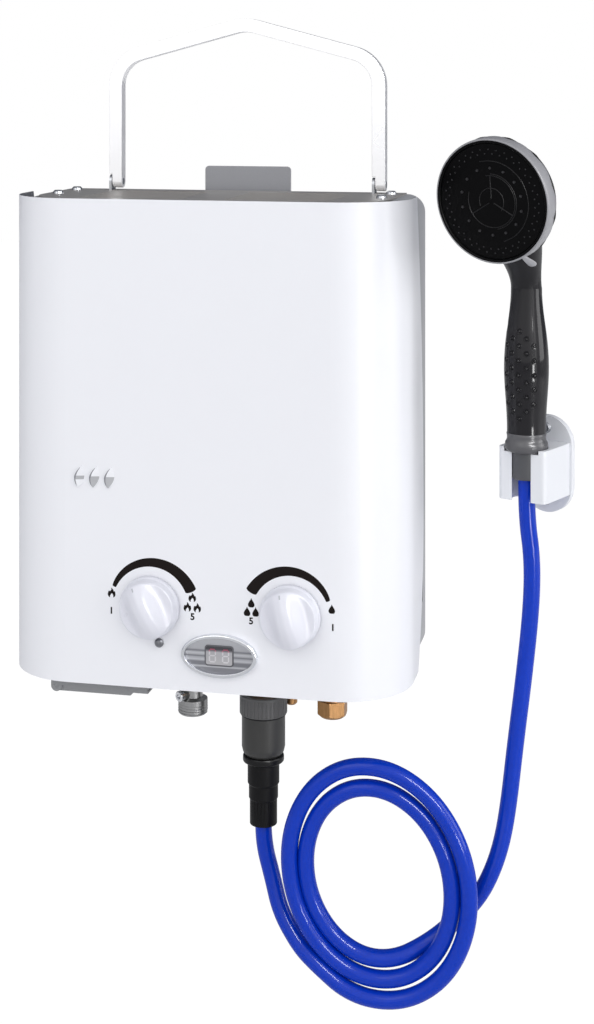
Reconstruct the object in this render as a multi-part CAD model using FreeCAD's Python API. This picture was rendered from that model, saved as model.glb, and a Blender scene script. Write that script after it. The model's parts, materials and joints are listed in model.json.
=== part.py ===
"""Portable propane water heater with its hose and hand shower, one STEP file per piece.

Frame: +X to the right of a person facing the heater, +Y towards the wall, +Z up, in millimetres.
Origin: centre of the wall-hook hole, on the rear face of the hanging bracket (the wall plane is Y = 0).
"""

import math
import os

import FreeCAD
import Part
from FreeCAD import Vector

ACROSS, BACK, FORWARD, UP = (1, 0, 0), (0, 1, 0), (0, -1, 0), (0, 0, 1)
TINY = 1e-6

# ---------------------------------------------------------------- heater body
body_width = 290.0
body_depth = 117.0
cover_height = 340.5
body_x = -7.0              # middle of the body, beside the wall hole
cover_top = 22.0           # top edge of the cover, above the wall hole
wall_gap = 8.0             # rear panel to wall
sheet = 1.0                # cover, rear pan and grille
slip = 0.3                 # gap between pieces that slide or seat loosely
touch = 0.05               # radial clearance of a pin or shaft that turns
cover_radius = 50.0        # vertical front corners
cover_side_top = 49.0      # cover's side edge in front of the rear panel, at its top
cover_side_deep = 17.5     # where it reaches back furthest
cover_side_bottom = 43.0   # and at its bottom
cover_deep_rise = 105.5    # height of the furthest point above the bottom edge
cover_lip = 8.0            # in-turned flange at the cover's bottom edge
shell_depth = 69.0         # rear pan, front to back
shell_radius = 13.0
shell_rise = 4.0           # pan's lower edge above the cover's lower edge
shell_flange = 22.0        # pan's top and bottom flange, front to back
flue_margin = 18.0         # opening in the top flange, wider than the flue on each side
vent_width, vent_length = 4.0, 41.0
vent_rises = (128.5, 62.0)
vent_setback = 14.0        # side vents in front of the rear panel
intake_width, intake_height, intake_pitch = 60.0, 4.0, 12.0
intake_count, intake_rise, intake_x = 6, 103.5, 70.0

front_y = -(wall_gap + body_depth)
rear_y = -wall_gap
cover_bottom = cover_top - cover_height
shell_half = body_width / 2 - sheet - slip
shell_front = rear_y - shell_depth
shell_bottom = cover_bottom + shell_rise

# ---------------------------------------------------------------- top and bottom plates
grille_drop = 0.5          # grille's upper face below the cover's top edge
grille_margin = 15.0       # grille's side edges inside the cover's
grille_gap = 2.0           # grille to the inside of the cover's front
slot_inner, slot_margin = 16.0, 38.0
slot_width, slot_pitch, slot_count = 5.0, 10.0, 8
slot_first = 20.0          # first slot behind the front face
floor_margin, floor_gap, floor_sheet = 17.0, 0.5, 1.2
plate_clearance = 1.0      # floor plate to a fitting that passes through it
top_screw_margin = 9.0
top_screw_setbacks = (59.0, 17.0)   # in front of the rear panel
top_screw_head, top_screw_head_height = 4.0, 2.4
top_screw_shank, top_screw_length, screw_gap = 2.0, 7.0, 0.1

grille_half = body_width / 2 - grille_margin
grille_top = cover_top - grille_drop
grille_front = front_y + sheet + grille_gap
grille_corner = cover_radius - sheet - grille_gap
shell_top = grille_top - sheet
top_screw_x = grille_half - top_screw_margin
floor_half = body_width / 2 - floor_margin
floor_front = front_y + sheet + floor_gap
floor_z = shell_bottom + sheet
floor_top = floor_z + floor_sheet

# ---------------------------------------------------------------- hanging bracket
bracket_width, bracket_sheet = 67.0, 1.5
bracket_tab_top = 39.5
bracket_bottom = -45.0
bracket_corner = 3.0
bracket_foot, bracket_foot_top = 13.0, 8.0
hook_radius = 5.25
spacer_radius, spacer_margin, spacer_rise = 8.0, 45.0, 28.5

# ---------------------------------------------------------------- carrying handle
handle_offset = 9.75       # middle of the handle, right of the body's middle
handle_margin = 43.75      # middle of a leg inside the body's side
handle_bar = 10.0
handle_setback = 9.0       # leg's centre line in front of the rear panel
handle_rise = 125.5        # centre line's peak above the grille, where the two slopes would meet
handle_slope = 15.0        # degrees
handle_bend, handle_apex_bend = 25.0, 31.0
pivot_rise = 6.5           # pivot above the grille
pivot_radius = 2.5
ear_sheet, ear_gap, ear_foot = 2.0, 0.4, 12.0

handle_x = body_x + handle_offset
handle_half = body_width / 2 - handle_margin
handle_y = rear_y - handle_setback
handle_apex = grille_top + handle_rise
pivot_z = grille_top + pivot_rise
foot_radius = handle_bar / 2

# ---------------------------------------------------------------- controls
control_offset = 17.5      # middle between the knobs, right of the body's middle
control_pitch = 100.0
control_rise = 57.0        # above the cover's bottom edge, like the other heights on the front
knob_radius, knob_top_radius = 21.5, 19.5
knob_height, knob_gap = 21.0, 0.8
knob_crest, knob_shoulder = 2.0, 9.0
knob_shoulder_height, knob_floor = 16.5, 6.5
knob_scoop = 8.0
knob_skirt, knob_edge = 4.0, 1.5
gas_knob_rest, water_knob_rest = 28.0, 14.0   # grip's turn from upright, degrees
spindle_radius, spindle_hole, spindle_reach = 4.0, 8.0, 12.0
socket_depth, socket_gap, socket_end_gap = 13.0, 0.03, 0.5
pointer_width = 1.4
badge_width, badge_height, badge_rise = 54.0, 30.0, 26.5
bezel_width, bezel_height, bezel_edge = 2.6, 4.0, 1.2
badge_plate_height, badge_gap = 1.6, 0.1
window_width, window_height, window_ledge = 19.0, 12.8, 1.0
board_width, board_height, board_sheet = 34.0, 20.0, 1.6
display_width, display_height, display_depth = 18.0, 14.0, 9.0
cover_screw_offset, cover_screw_rise = -26.0, 32.2
cover_screw_head, cover_screw_shank, cover_screw_length = 3.2, 2.0, 6.0
screw_tab_width = 16.0
leaf_first, leaf_pitch, leaf_count = -84.2, 11.0, 3
leaf_rise, leaf_width, leaf_height = 145.2, 7.2, 14.6
leaf_lean, leaf_open, leaf_sheet = 8.0, 14.0, 0.8

control_x = body_x + control_offset
control_z = cover_bottom + control_rise
gas_knob_x = control_x - control_pitch / 2
water_knob_x = control_x + control_pitch / 2
badge_z = cover_bottom + badge_rise
cover_screw_x = body_x + cover_screw_offset
cover_screw_z = cover_bottom + cover_screw_rise
leaf_z = cover_bottom + leaf_rise

# ---------------------------------------------------------------- valves and fittings
fitting_setback = 55.0     # line of the fittings behind the front face
valve_setback, valve_depth, valve_height = 27.0, 46.0, 46.0
valve_lift = 24.3          # valves above the floor plate
gas_valve_width, water_valve_width, valve_overhang = 50.0, 54.0, 22.5
boss_radius, boss_length = 9.0, 6.0
diaphragm_radius, diaphragm_width, diaphragm_rim = 23.0, 18.0, 3.0
rod_radius, rod_collar, rod_reach, rod_travel, rod_drop = 2.5, 5.0, 8.0, 2.5, 0.5
switch_length, switch_depth, switch_height = 20.0, 12.0, 13.0
gas_offset, water_offset, outlet_offset = 15.5, 18.5, 18.0
gas_thread, gas_stem, gas_bore = 10.48, 7.0, 4.0
gas_drop, gas_thread_length = 39.7, 10.8
test_angle, test_rise, test_boss, test_boss_length = 32.0, 14.8, 3.4, 6.0
water_hex, water_hex_length, water_drop = 19.5, 12.0, 34.5
water_thread, water_bore, stem_wall = 7.5, 5.0, 1.0
drain_offset, drain_setback = 7.9, 69.0
drain_radius, drain_drop, drain_boss_wall, drain_boss_length = 4.4, 32.9, 1.5, 20.0
flange_radius, flange_height = 12.5, 4.5
nipple_radius, nipple_bore, nipple_overlap = 10.0, 6.0, 13.5
elbow_half, elbow_front, elbow_rear, elbow_height = 10.0, 12.0, 10.0, 21.0
elbow_port_rise = 11.0

fitting_y = front_y + fitting_setback
valve_front = front_y + valve_setback
valve_rear = valve_front + valve_depth
valve_bottom = floor_top + valve_lift
valve_top = valve_bottom + valve_height
gas_valve_left = gas_knob_x - valve_overhang
gas_valve_right = gas_valve_left + gas_valve_width
water_valve_left = water_knob_x - valve_overhang
water_valve_right = water_valve_left + water_valve_width
rod_z = control_z - rod_drop
gas_x = gas_knob_x + gas_offset
water_x = water_knob_x + water_offset
outlet_x = control_x + outlet_offset
drain_x = water_valve_left + drain_offset
drain_y = front_y + drain_setback
gas_end = floor_z - gas_drop
water_end = floor_z - water_drop
drain_end = floor_z - drain_drop
drain_boss = drain_radius + drain_boss_wall

# ---------------------------------------------------------------- burner and heat exchanger
core_half = 77.0           # half the width of burner, chamber and exchanger
core_setback, core_margin = 20.0, 23.0   # behind the front face, in front of the rear panel
duct_sheet = 1.0
hood_height, exchanger_height = 34.5, 46.0
chamber_lift = 70.0        # chamber's lower edge above the valves
frame_height, frame_sheet, tray_sheet = 35.0, 1.5, 2.0
bar_count, bar_width, bar_height, bar_margin = 7, 11.0, 32.0, 10.0
bar_slot_width, bar_slot, bar_slot_pitch = 7.0, 1.5, 6.0
bar_mouth, bar_wall, bar_gap, air_margin = 4.0, 1.2, 1.5, 12.0
rail_size, rail_rise, rail_gap = 8.0, 11.0, 1.0
injector_radius, injector_length = 2.5, 3.5
fin_count, fin_sheet = 25, 0.8
pipe_radius, pipe_wall, pipe_count = 7.0, 1.5, 4
pipe_margin, port_length = 11.0, 4.0
riser_pipe_radius, riser_pipe_wall = 6.0, 1.0
gas_pipe_radius, gas_pipe_wall, gas_pipe_rise, gas_pipe_bend = 4.0, 1.0, 18.0, 8.0
cold_reach, hot_reach = 14.0, 30.0       # right of the chamber
cold_bend, hot_bend = 9.5, 12.0
probe_radii = (3.0, 2.5)
probe_offsets = (-13.0, 15.0)
probe_rise, ceramic_length, tip_radius, tip_length = 5.0, 14.0, 0.8, 14.0
igniter_place, igniter_size = (-41.0, 38.8), (35.0, 26.0, 60.0)   # left of the burner, above the floor
cutoff_radius, cutoff_drop = 8.0, 30.0
tilt_place, tilt_size = (26.0, 42.0), (22.0, 18.0, 24.0)         # right of the burner, above the valves

core_left, core_right = body_x - core_half, body_x + core_half
core_front = front_y + core_setback
core_rear = rear_y - core_margin
exchanger_top = shell_top - hood_height
chamber_top = exchanger_top - exchanger_height
pipe_z = exchanger_top - exchanger_height / 2
chamber_bottom = valve_top + chamber_lift
frame_bottom = chamber_bottom - frame_height
rail_z = frame_bottom + rail_rise
rail_rear = core_front - rail_gap
probe_z = chamber_bottom + probe_rise
cold_x, hot_x = core_right + cold_reach, core_right + hot_reach

# ---------------------------------------------------------------- battery box
cell_radius, cell_length = 16.6, 61.5
cell_tip_radius, cell_tip_length = 4.5, 1.5
cell_gap, cell_top_gap, cell_spring = 0.2, 0.6, 2.4
battery_wall, battery_flange, battery_flange_sheet = 1.6, 4.0, 1.5
battery_room = (4.9, 1.0, 3.6)           # spare length, half the spare width, spare height
battery_offset = 24.5                    # box left of the gas inlet
battery_setback = 59.0                   # middle of the box in front of the rear panel
battery_lift = 22.3                      # box top above the floor plate
door_gap, door_sheet, door_thickness, latch_width, door_edge = 0.4, 2.0, 4.5, 12.0, 1.8
knuckle_radius, hinge_pin = 4.0, 1.4

battery_right = gas_x - battery_offset
battery_left = battery_right - cell_length - 2 * battery_wall - cell_spring - battery_room[0]
battery_half = 2 * cell_radius + cell_gap + battery_room[1] + battery_wall
battery_front = rear_y - battery_setback - battery_half
battery_rear = rear_y - battery_setback + battery_half
battery_top = floor_top + battery_lift
battery_rim = battery_top - battery_wall - cell_top_gap - 2 * cell_radius - battery_room[2]
battery_bottom = battery_rim - door_thickness
hinge_x = battery_left + knuckle_radius
hinge_z = battery_bottom + knuckle_radius

# ---------------------------------------------------------------- quick connector and hose
hose_diameter, hose_wall = 12.0, 2.0
neck_radius, neck_drop, neck_length = 12.5, 21.5, 10.5
sleeve_radius, sleeve_rise, sleeve_length = 17.1, 0.7, 14.6
sleeve_travel = 4.0
rib_count, rib_radius, rib_depth = 36, 0.8, 0.45
coupler_radius, coupler_length = 15.6, 33.0
nut_radius, nut_height = 14.8, 5.5
boot_top_radius, boot_step_radius, boot_radius = 11.4, 10.5, 9.8
boot_steps, boot_length = (16.0, 26.5), 44.5

neck_top = floor_z - neck_drop
nipple_end = neck_top - nipple_overlap
sleeve_top = neck_top + sleeve_rise
sleeve_bottom = sleeve_top - sleeve_length
coupler_shoulder = neck_top - neck_length
coupler_bottom = coupler_shoulder - coupler_length
nut_bottom = coupler_bottom - nut_height
boot_bottom = nut_bottom - boot_length
hose_bore = hose_diameter / 2 - hose_wall

lead_points = (
    (outlet_x, fitting_y, boot_bottom),
    (outlet_x, fitting_y, boot_bottom - 14.0),
    (33.0, -72.0, -466.0),
    (42.5, -76.5, -487.4),
    (57.6, -82.0, -506.1),
    (74.3, -86.0, -519.9),
)
coil_centre = (115.0, -86.0, -453.8)             # in front of the hose that feeds the water inlet
coil_half_width, coil_half_height = 61.3, 80.5   # middle of the wound band
coil_outer_share, coil_inner_share = 1.05, 0.70
coil_lean = 17.0           # degrees
coil_thickness = hose_diameter + 0.6

# ---------------------------------------------------------------- hand shower and holder
shower_reach, shower_y = 76.5, -45.0             # shower's axis right of the body's side, and its depth
shower_seat = -158.3       # where the collar rests in the cradle; other heights are above it
shower_turn = 23.0         # how far the head faces left of the viewer, degrees
head_tilt = 8.0            # how far it looks down, degrees
head_reach, head_rise = 50.0, 180.3
tail_radius, tail_length = 10.2, 19.4
collar_radius, collar_height, collar_flare = 15.4, 13.3, 4.0
grip_outline = ((13.8, 13.6), (14.3, 30.3), (15.9, 58.3), (14.4, 82.3), (12.0, 100.3), (11.0, 116.3))
neck_sections = ((0.0, -0.5, -0.05, 0), (-3.5, 14, 1.4, 14), (-8.5, 27, 4.5, 32), (-15.0, 43, 6.5, 56),
                 (-26.0, 62, 9, 82))
waterway = 5.0
face_radius, face_depth, face_bevel = 40.3, 3.0, 12.0
hub_inset, hub_wall, hub_hook = 6.3, 2.6, 3.0
ring_gap, ring_wall, ring_front, ring_back = 0.4, 3.3, -1.5, 11.0
ring_lobe_count, ring_lobe_depth, ring_lobe_radius = 12, 0.9, 5.0
tab_turn, tab_width, tab_height = 30.0, 9.0, 10.0
dome_inset, dome_back_radius, dome_back = 2.0, 17.0, 32.0
cradle_wall, cradle_front, cradle_rear, cradle_corner = 3.6, 8.0, 30.0, 4.0
cradle_lip, cradle_depth = 3.0, 34.3
tail_gap, slot_gap = 0.4, 1.5
plate_width, plate_height, plate_sheet, plate_drop = 41.0, 70.0, 5.0, 14.0
holder_screw_span, holder_screw_radius, holder_screw_head, holder_screw_height = 52.0, 2.0, 4.0, 2.0

shower_x = body_x + body_width / 2 + shower_reach
collar_bottom = shower_seat + slip
collar_top = collar_bottom + collar_height
tail_end = collar_bottom - tail_length
throat_radius, throat_z = grip_outline[-1][0], shower_seat + grip_outline[-1][1]
head_z = shower_seat + head_rise
hub_radius = face_radius - hub_inset
ring_bore = face_radius + ring_gap
ring_radius = ring_bore + ring_wall
dome_radius = ring_radius - dome_inset
cradle_half = collar_radius + cradle_wall
cradle_top, cradle_bottom = shower_seat + cradle_lip, shower_seat - cradle_depth
plate_z = shower_seat - plate_drop

riser_points = (
    (132.6, -85.0, -504.9),
    (152.8, -80.0, -493.4),
    (171.2, -73.0, -478.8),
    (185.9, -66.5, -460.8),
    (195.4, -61.0, -437.5),
    (201.9, -56.0, -406.2),
    (207.2, -52.0, -365.3),
    (212.5, -48.0, -318.0),
    (216.4, -46.3, -270.0),
    (217.0, -45.3, -232.0),
    (shower_x, shower_y, -204.0),
    (shower_x, shower_y, tail_end - slip),
)


# ---------------------------------------------------------------- building blocks
def span(middle, size):
    """Two limits about a middle."""
    return (middle - size / 2, middle + size / 2)


def box(x, y, z):
    """Block between two limits on each axis."""
    return Part.makeBox(x[1] - x[0], y[1] - y[0], z[1] - z[0], Vector(x[0], y[0], z[0]))


def rod(radius, start, direction, length):
    """Cylinder that starts at a point and runs along a direction."""
    return Part.makeCylinder(radius, length, Vector(*start), Vector(*direction))


def placed(shape, start, direction):
    """Shape built about +Z, moved so that its axis starts at a point and runs along a direction."""
    turn = FreeCAD.Rotation(Vector(*UP), Vector(*direction))
    shape.Placement = FreeCAD.Placement(Vector(*start), turn)
    return shape


def turned(outline, start=(0, 0, 0), direction=UP):
    """Solid of revolution from (radius, height) points."""
    points = [Vector(radius, 0, height) for radius, height in outline]
    face = Part.Face(Part.makePolygon(points + points[:1]))
    return placed(face.revolve(Vector(), Vector(*UP), 360), start, direction)


def turned_smooth(outline):
    """Solid of revolution about Z with a smooth flank through (radius, height) points."""
    points = [Vector(radius, 0, height) for radius, height in outline]
    flank = Part.BSplineCurve()
    flank.interpolate(points)
    foot, head = Vector(0, 0, points[0].z), Vector(0, 0, points[-1].z)
    edges = [line(foot, points[0]), flank.toShape(), line(points[-1], head), line(head, foot)]
    return Part.Face(Part.Wire(edges)).revolve(Vector(), Vector(*UP), 360)


def line(start, end):
    """Straight edge."""
    return Part.LineSegment(start, end).toShape()


def ellipse_prism(half_x, half_z, centre, depth, lean=0.0):
    """Ellipse in an XZ plane, extruded along Y and turned about Y by its lean."""
    tall = half_z > half_x
    major, minor = (half_z, half_x) if tall else (half_x, half_z)
    angle = math.radians(lean)
    along = Vector(math.cos(angle), 0, -math.sin(angle))
    if tall:
        along = Vector(math.sin(angle), 0, math.cos(angle))
    middle = Vector(*centre)
    across = Vector(*BACK).cross(along)
    curve = Part.Ellipse(middle + along * major, middle + across * minor, middle)
    return Part.Face(Part.Wire(curve.toShape())).extrude(Vector(0, depth, 0))


def fuse(shapes):
    """One solid from touching or overlapping shapes."""
    return shapes[0].fuse(shapes[1:]).removeSplitter()


def group(shapes):
    """Several solids kept apart in one shape."""
    return Part.makeCompound(shapes)


def along_y(block):
    """Edges of a block that run along Y."""
    return [edge for edge in block.Edges
            if edge.BoundBox.YLength > TINY and edge.BoundBox.XLength + edge.BoundBox.ZLength < TINY]


def front_uprights(block):
    """Edges of a block that run along Z on its front face."""
    front = block.BoundBox.YMin + TINY
    return [edge for edge in block.Edges
            if edge.BoundBox.ZLength > TINY and edge.BoundBox.XLength < TINY and edge.BoundBox.YMax < front]


def front_rounded(half_width, front, back, radius, z):
    """Block about the body's middle with its two front upright edges rounded."""
    block = box(span(body_x, 2 * half_width), (front, back), z)
    return block.makeFillet(radius, front_uprights(block))


def bent_path(points, radii):
    """Wire of straight runs joined by tangent arcs of the given radii at the inner points."""
    corners = [Vector(*point) for point in points]
    edges, last = [], corners[0]
    for before, corner, after, radius in zip(corners, corners[1:], corners[2:], radii):
        into = (corner - before).normalize()
        out = (after - corner).normalize()
        half_turn = into.getAngle(out) / 2
        trim = radius * math.tan(half_turn)
        start, end = corner - into * trim, corner + out * trim
        inward = (out - into).normalize()
        middle = corner + inward * (radius / math.cos(half_turn) - radius)
        edges.append(line(last, start))
        edges.append(Part.Arc(start, middle, end).toShape())
        last = end
    edges.append(line(last, corners[-1]))
    return Part.Wire(edges)


def swept_round(path, radius):
    """Round bar along a path."""
    first = path.Edges[0]
    start = first.valueAt(first.FirstParameter)
    circle = Part.makeCircle(radius, start, first.tangentAt(first.FirstParameter))
    return path.makePipeShell([Part.Wire(circle)], True, False)


def bent_pipe(points, radii, radius, wall):
    """Hollow pipe along a bent path."""
    path = bent_path(points, radii)
    return swept_round(path, radius).cut(swept_round(path, radius - wall))


# ---------------------------------------------------------------- casing
def front_cover():
    """U-shaped sheet cover with arched side edges, a bottom lip, openings and three leaf louvres."""
    tall, low = (cover_bottom, cover_top), (cover_bottom, cover_bottom + sheet)
    wall = nested_shell(0, sheet, tall)
    lip = nested_shell(sheet / 2, sheet + cover_lip, low)
    cover = fuse([wall, lip]).common(cover_side_view())
    cover = cover.cut(group(cover_openings()))
    return fuse([cover] + [leaf_hood(x) for x in leaf_places()])


def nested_shell(outer, inner, z):
    """What lies between two offsets inward from the cover's outer face."""
    back = rear_y - cover_side_deep + 1
    half = body_width / 2
    block = front_rounded(half - outer, front_y + outer, back, cover_radius - outer, z)
    return block.cut(front_rounded(half - inner, front_y + inner, back + 1, cover_radius - inner, z))


def cover_side_view():
    """The cover's outline seen from the side, extruded: straight front, rear edge of two arcs."""
    x = body_x - body_width
    ahead = front_y - 5
    deepest = Vector(x, rear_y - cover_side_deep, cover_bottom + cover_deep_rise)
    top = Vector(x, rear_y - cover_side_top, cover_top)
    bottom = Vector(x, rear_y - cover_side_bottom, cover_bottom)
    front_top, front_bottom = Vector(x, ahead, cover_top), Vector(x, ahead, cover_bottom)
    edges = [line(front_bottom, front_top), line(front_top, top), tangent_arc(deepest, top),
             tangent_arc(deepest, bottom), line(bottom, front_bottom)]
    return Part.Face(Part.Wire(Part.__sortEdges__(edges))).extrude(Vector(2 * body_width, 0, 0))


def tangent_arc(deepest, end):
    """Arc that leaves the deepest point parallel to Z and ends at another point."""
    rise, retreat = end.z - deepest.z, deepest.y - end.y
    radius = (rise ** 2 + retreat ** 2) / (2 * retreat)
    half_turn = math.asin(rise / radius) / 2
    middle = Vector(deepest.x, deepest.y - radius * (1 - math.cos(half_turn)),
                    deepest.z + radius * math.sin(half_turn))
    return Part.Arc(deepest, middle, end).toShape()


def cover_openings():
    """Cuts through the cover's front for the spindles, the display, the screw and the louvres."""
    start, depth = front_y - sheet, 3 * sheet
    cuts = [rod(spindle_hole, (x, start, control_z), BACK, depth) for x in (gas_knob_x, water_knob_x)]
    cuts.append(rod(cover_screw_shank + slip, (cover_screw_x, start, cover_screw_z), BACK, depth))
    cuts.append(box(span(control_x, window_width - 2 * window_ledge), (start, start + depth),
                    span(badge_z, window_height - 2 * window_ledge)))
    cuts.extend(leaf(x, start, depth) for x in leaf_places())
    return cuts


def leaf_places():
    """Middles of the leaf louvres."""
    return [body_x + leaf_first + leaf_pitch * k for k in range(leaf_count)]


def leaf(x, start, depth):
    """Pointed leaf, the common part of two circles, leaning to the right at its top."""
    radius = (leaf_height ** 2 + leaf_width ** 2) / (4 * leaf_width)
    offset = radius - leaf_width / 2
    left, right = [rod(radius, (x + shift, start, leaf_z), BACK, depth) for shift in (-offset, offset)]
    shape = left.common(right)
    shape.rotate(Vector(x, start, leaf_z), Vector(*BACK), leaf_lean)
    return shape


def leaf_hood(x):
    """Leaf-shaped flap, joined to the cover at its right edge and standing open at its left."""
    right = x + leaf_width / 2
    flap = box((x - 1.5 * leaf_width, right), (front_y, front_y + leaf_sheet), span(leaf_z, 2 * leaf_height))
    flap.rotate(Vector(right, front_y, leaf_z), Vector(*UP), leaf_open)
    return flap.common(leaf(x, front_y - leaf_width, 2 * leaf_width))


def rear_shell():
    """Grey pan: rear panel, side walls with vent slots, top flange with the flue opening."""
    return shell_block(0, shell_front).cut(shell_block(sheet, shell_front - 1)).cut(group(shell_openings()))


def shell_block(inset, front):
    """Rear pan's block, moved inward by an inset at its rear, sides, top and bottom."""
    block = box(span(body_x, 2 * (shell_half - inset)), (front, rear_y - inset),
                (shell_bottom + inset, shell_top - inset))
    return block.makeFillet(shell_radius - inset, along_y(block))


def shell_openings():
    """Cuts through the rear pan: flue, fittings, vents, screws and handle ears."""
    through = 2 * sheet
    flue = box(span(body_x, 2 * (core_half + flue_margin)), (shell_front - 1, rear_y - shell_flange),
               (shell_top - through, shell_top + 1))
    notch = box(span(body_x, 2 * floor_half), (shell_front - 1, rear_y - shell_flange),
                (shell_bottom - 1, shell_bottom + through))
    box_notch = box((battery_left - floor_gap, battery_right + floor_gap),
                    (battery_front - floor_gap, battery_rear + floor_gap),
                    (shell_bottom - 1, shell_bottom + through))
    vents = [side_vent(cover_bottom + rise) for rise in vent_rises]
    intakes = [box(span(body_x + side * intake_x, intake_width), (rear_y - through, rear_y + 1),
                   span(cover_bottom + intake_rise - step * intake_pitch, intake_height))
               for step in range(intake_count) for side in (-1, 1)]
    return [flue, notch, box_notch] + vents + intakes + screw_holes() + ear_slots()


def side_vent(z):
    """Upright round-ended slot through both side walls."""
    y, width = rear_y - vent_setback, 2 * shell_half + 2
    straight = vent_length - vent_width
    ends = [rod(vent_width / 2, (body_x - width / 2, y, end), ACROSS, width) for end in span(z, straight)]
    return fuse([box(span(body_x, width), span(y, vent_width), span(z, straight))] + ends)


def top_screw_places():
    """Centres of the four grille screws."""
    return [(body_x + side * top_screw_x, rear_y - setback)
            for side in (-1, 1) for setback in top_screw_setbacks]


def screw_holes():
    """Clearance holes for the grille screws, through the grille and the pan's top flange."""
    radius = top_screw_shank + screw_gap
    return [rod(radius, (x, y, shell_top - 2 * sheet), UP, 4 * sheet) for x, y in top_screw_places()]


def top_grille():
    """Stainless top plate with two groups of slots."""
    back = rear_y - floor_gap
    plate = front_rounded(grille_half, grille_front, back, grille_corner, (shell_top, grille_top))
    through = (shell_top - 1, grille_top + 1)
    slots = []
    for row in range(slot_count):
        y = front_y + slot_first + row * slot_pitch
        for side in (-1, 1):
            ends = sorted((body_x + side * slot_inner, body_x + side * (grille_half - slot_margin)))
            slots.append(box(ends, (y, y + slot_width), through))
    return plate.cut(group(slots + screw_holes() + ear_slots()))


def top_screws():
    """Four pan-head screws with a crossed recess, one solid each."""
    flank, crown = 0.6 * top_screw_head_height, top_screw_head - 1.4
    outline = ((0, -top_screw_length), (top_screw_shank, -top_screw_length), (top_screw_shank, 0),
               (top_screw_head, 0), (top_screw_head - 0.3, flank), (crown, top_screw_head_height),
               (0, top_screw_head_height))
    recess_z = (grille_top + top_screw_head_height / 2, grille_top + 2 * top_screw_head_height)
    screws = []
    for x, y in top_screw_places():
        cross = [box(span(x, wide), span(y, deep), recess_z) for wide, deep in ((4, 0.8), (0.8, 4))]
        screws.append(turned(outline, (x, y, grille_top)).cut(group(cross)))
    return group(screws)


def bottom_plate():
    """Floor of the casing, with holes for the fittings and a tab for the cover screw."""
    plate = front_rounded(floor_half, floor_front, rear_y - sheet, grille_corner, (floor_z, floor_top))
    fittings = ((gas_x, fitting_y, gas_stem), (outlet_x, fitting_y, nipple_radius),
                (drain_x, drain_y, drain_boss), (water_x, fitting_y, water_thread + stem_wall))
    holes = [rod(radius + plate_clearance, (x, y, floor_z - 1), UP, 2 + floor_sheet)
             for x, y, radius in fittings]
    holes.append(box((battery_left - floor_gap, battery_right + floor_gap),
                     (battery_front - floor_gap, battery_rear + floor_gap), (floor_z - 1, floor_top + 1)))
    tab = box(span(cover_screw_x, screw_tab_width), (floor_front, floor_front + floor_sheet),
              (floor_z, cover_screw_z + screw_tab_width / 2))
    start = (cover_screw_x, front_y, cover_screw_z)
    tab = tab.cut(rod(cover_screw_shank + screw_gap, start, BACK, cover_screw_length))
    return fuse([plate.cut(group(holes)), tab])


def hanging_bracket():
    """Hat-section bracket: tab with the wall hole, two webs and two feet on the rear panel."""
    half = bracket_width / 2
    tab = box((-half, half), (-bracket_sheet, 0), (bracket_bottom, bracket_tab_top))
    tab = tab.makeFillet(bracket_corner, [edge for edge in along_y(tab) if edge.BoundBox.ZMax > 0])
    sides = []
    for side in (-1, 1):
        inner = side * (half - bracket_sheet)
        web, foot = sorted((side * half, inner)), sorted((inner, side * (half + bracket_foot)))
        sides.append(box(web, (rear_y, -bracket_sheet / 2), (bracket_bottom, bracket_foot_top)))
        sides.append(box(foot, (rear_y, rear_y + bracket_sheet), (bracket_bottom, bracket_foot_top)))
    return fuse([tab] + sides).cut(rod(hook_radius, (0, -2 * bracket_sheet, 0), BACK, 3 * bracket_sheet))


def wall_spacers():
    """Two rubber bumpers that hold the lower body parallel to the wall."""
    outline = ((0, 0), (spacer_radius, 0), (spacer_radius, wall_gap - 1), (spacer_radius - 1, wall_gap),
               (0, wall_gap))
    reach = body_width / 2 - spacer_margin
    return group([turned(outline, (body_x + side * reach, rear_y, cover_bottom + spacer_rise), BACK)
                  for side in (-1, 1)])


# ---------------------------------------------------------------- carrying handle
def carry_handle():
    """Square bar bent into two legs and two slopes that meet in a soft peak."""
    corner_z = handle_apex - handle_half * math.tan(math.radians(handle_slope))
    left, right = span(handle_x, 2 * handle_half)
    points = ((left, handle_y, pivot_z), (left, handle_y, corner_z), (handle_x, handle_y, handle_apex),
              (right, handle_y, corner_z), (right, handle_y, pivot_z))
    path = bent_path(points, (handle_bend, handle_apex_bend, handle_bend))
    low_x, high_x = span(left, handle_bar)
    low_y, high_y = span(handle_y, handle_bar)
    corners = ((low_x, low_y), (high_x, low_y), (high_x, high_y), (low_x, high_y), (low_x, low_y))
    square = Part.makePolygon([Vector(x, y, pivot_z) for x, y in corners])
    bar = path.makePipeShell([square], True, False)
    feet = [rod(foot_radius, (edge, handle_y, pivot_z), ACROSS, handle_bar) for edge in leg_edges()]
    bar = fuse([bar] + feet)
    cuts = []
    for edge in leg_edges():
        recess_z = (pivot_z - foot_radius - 3, pivot_z + foot_radius + 2 * ear_gap)
        cuts.append(box((edge - 1, edge + ear_sheet + ear_gap), span(handle_y, handle_bar + 6), recess_z))
        cuts.append(rod(pivot_radius + touch, (edge - 1, handle_y, pivot_z), ACROSS, handle_bar + 2))
    return bar.cut(group(cuts))


def leg_edges():
    """Left faces of the handle's two legs."""
    return [middle - handle_bar / 2 for middle in span(handle_x, 2 * handle_half)]


def ear_slots():
    """Slots in the grille and the pan's top flange that the ears stand in."""
    return [box((edge - slip, edge + ear_sheet + slip), span(handle_y, handle_bar + 2 * slip),
                (shell_top - 2 * sheet, grille_top + 1)) for edge in leg_edges()]


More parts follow.
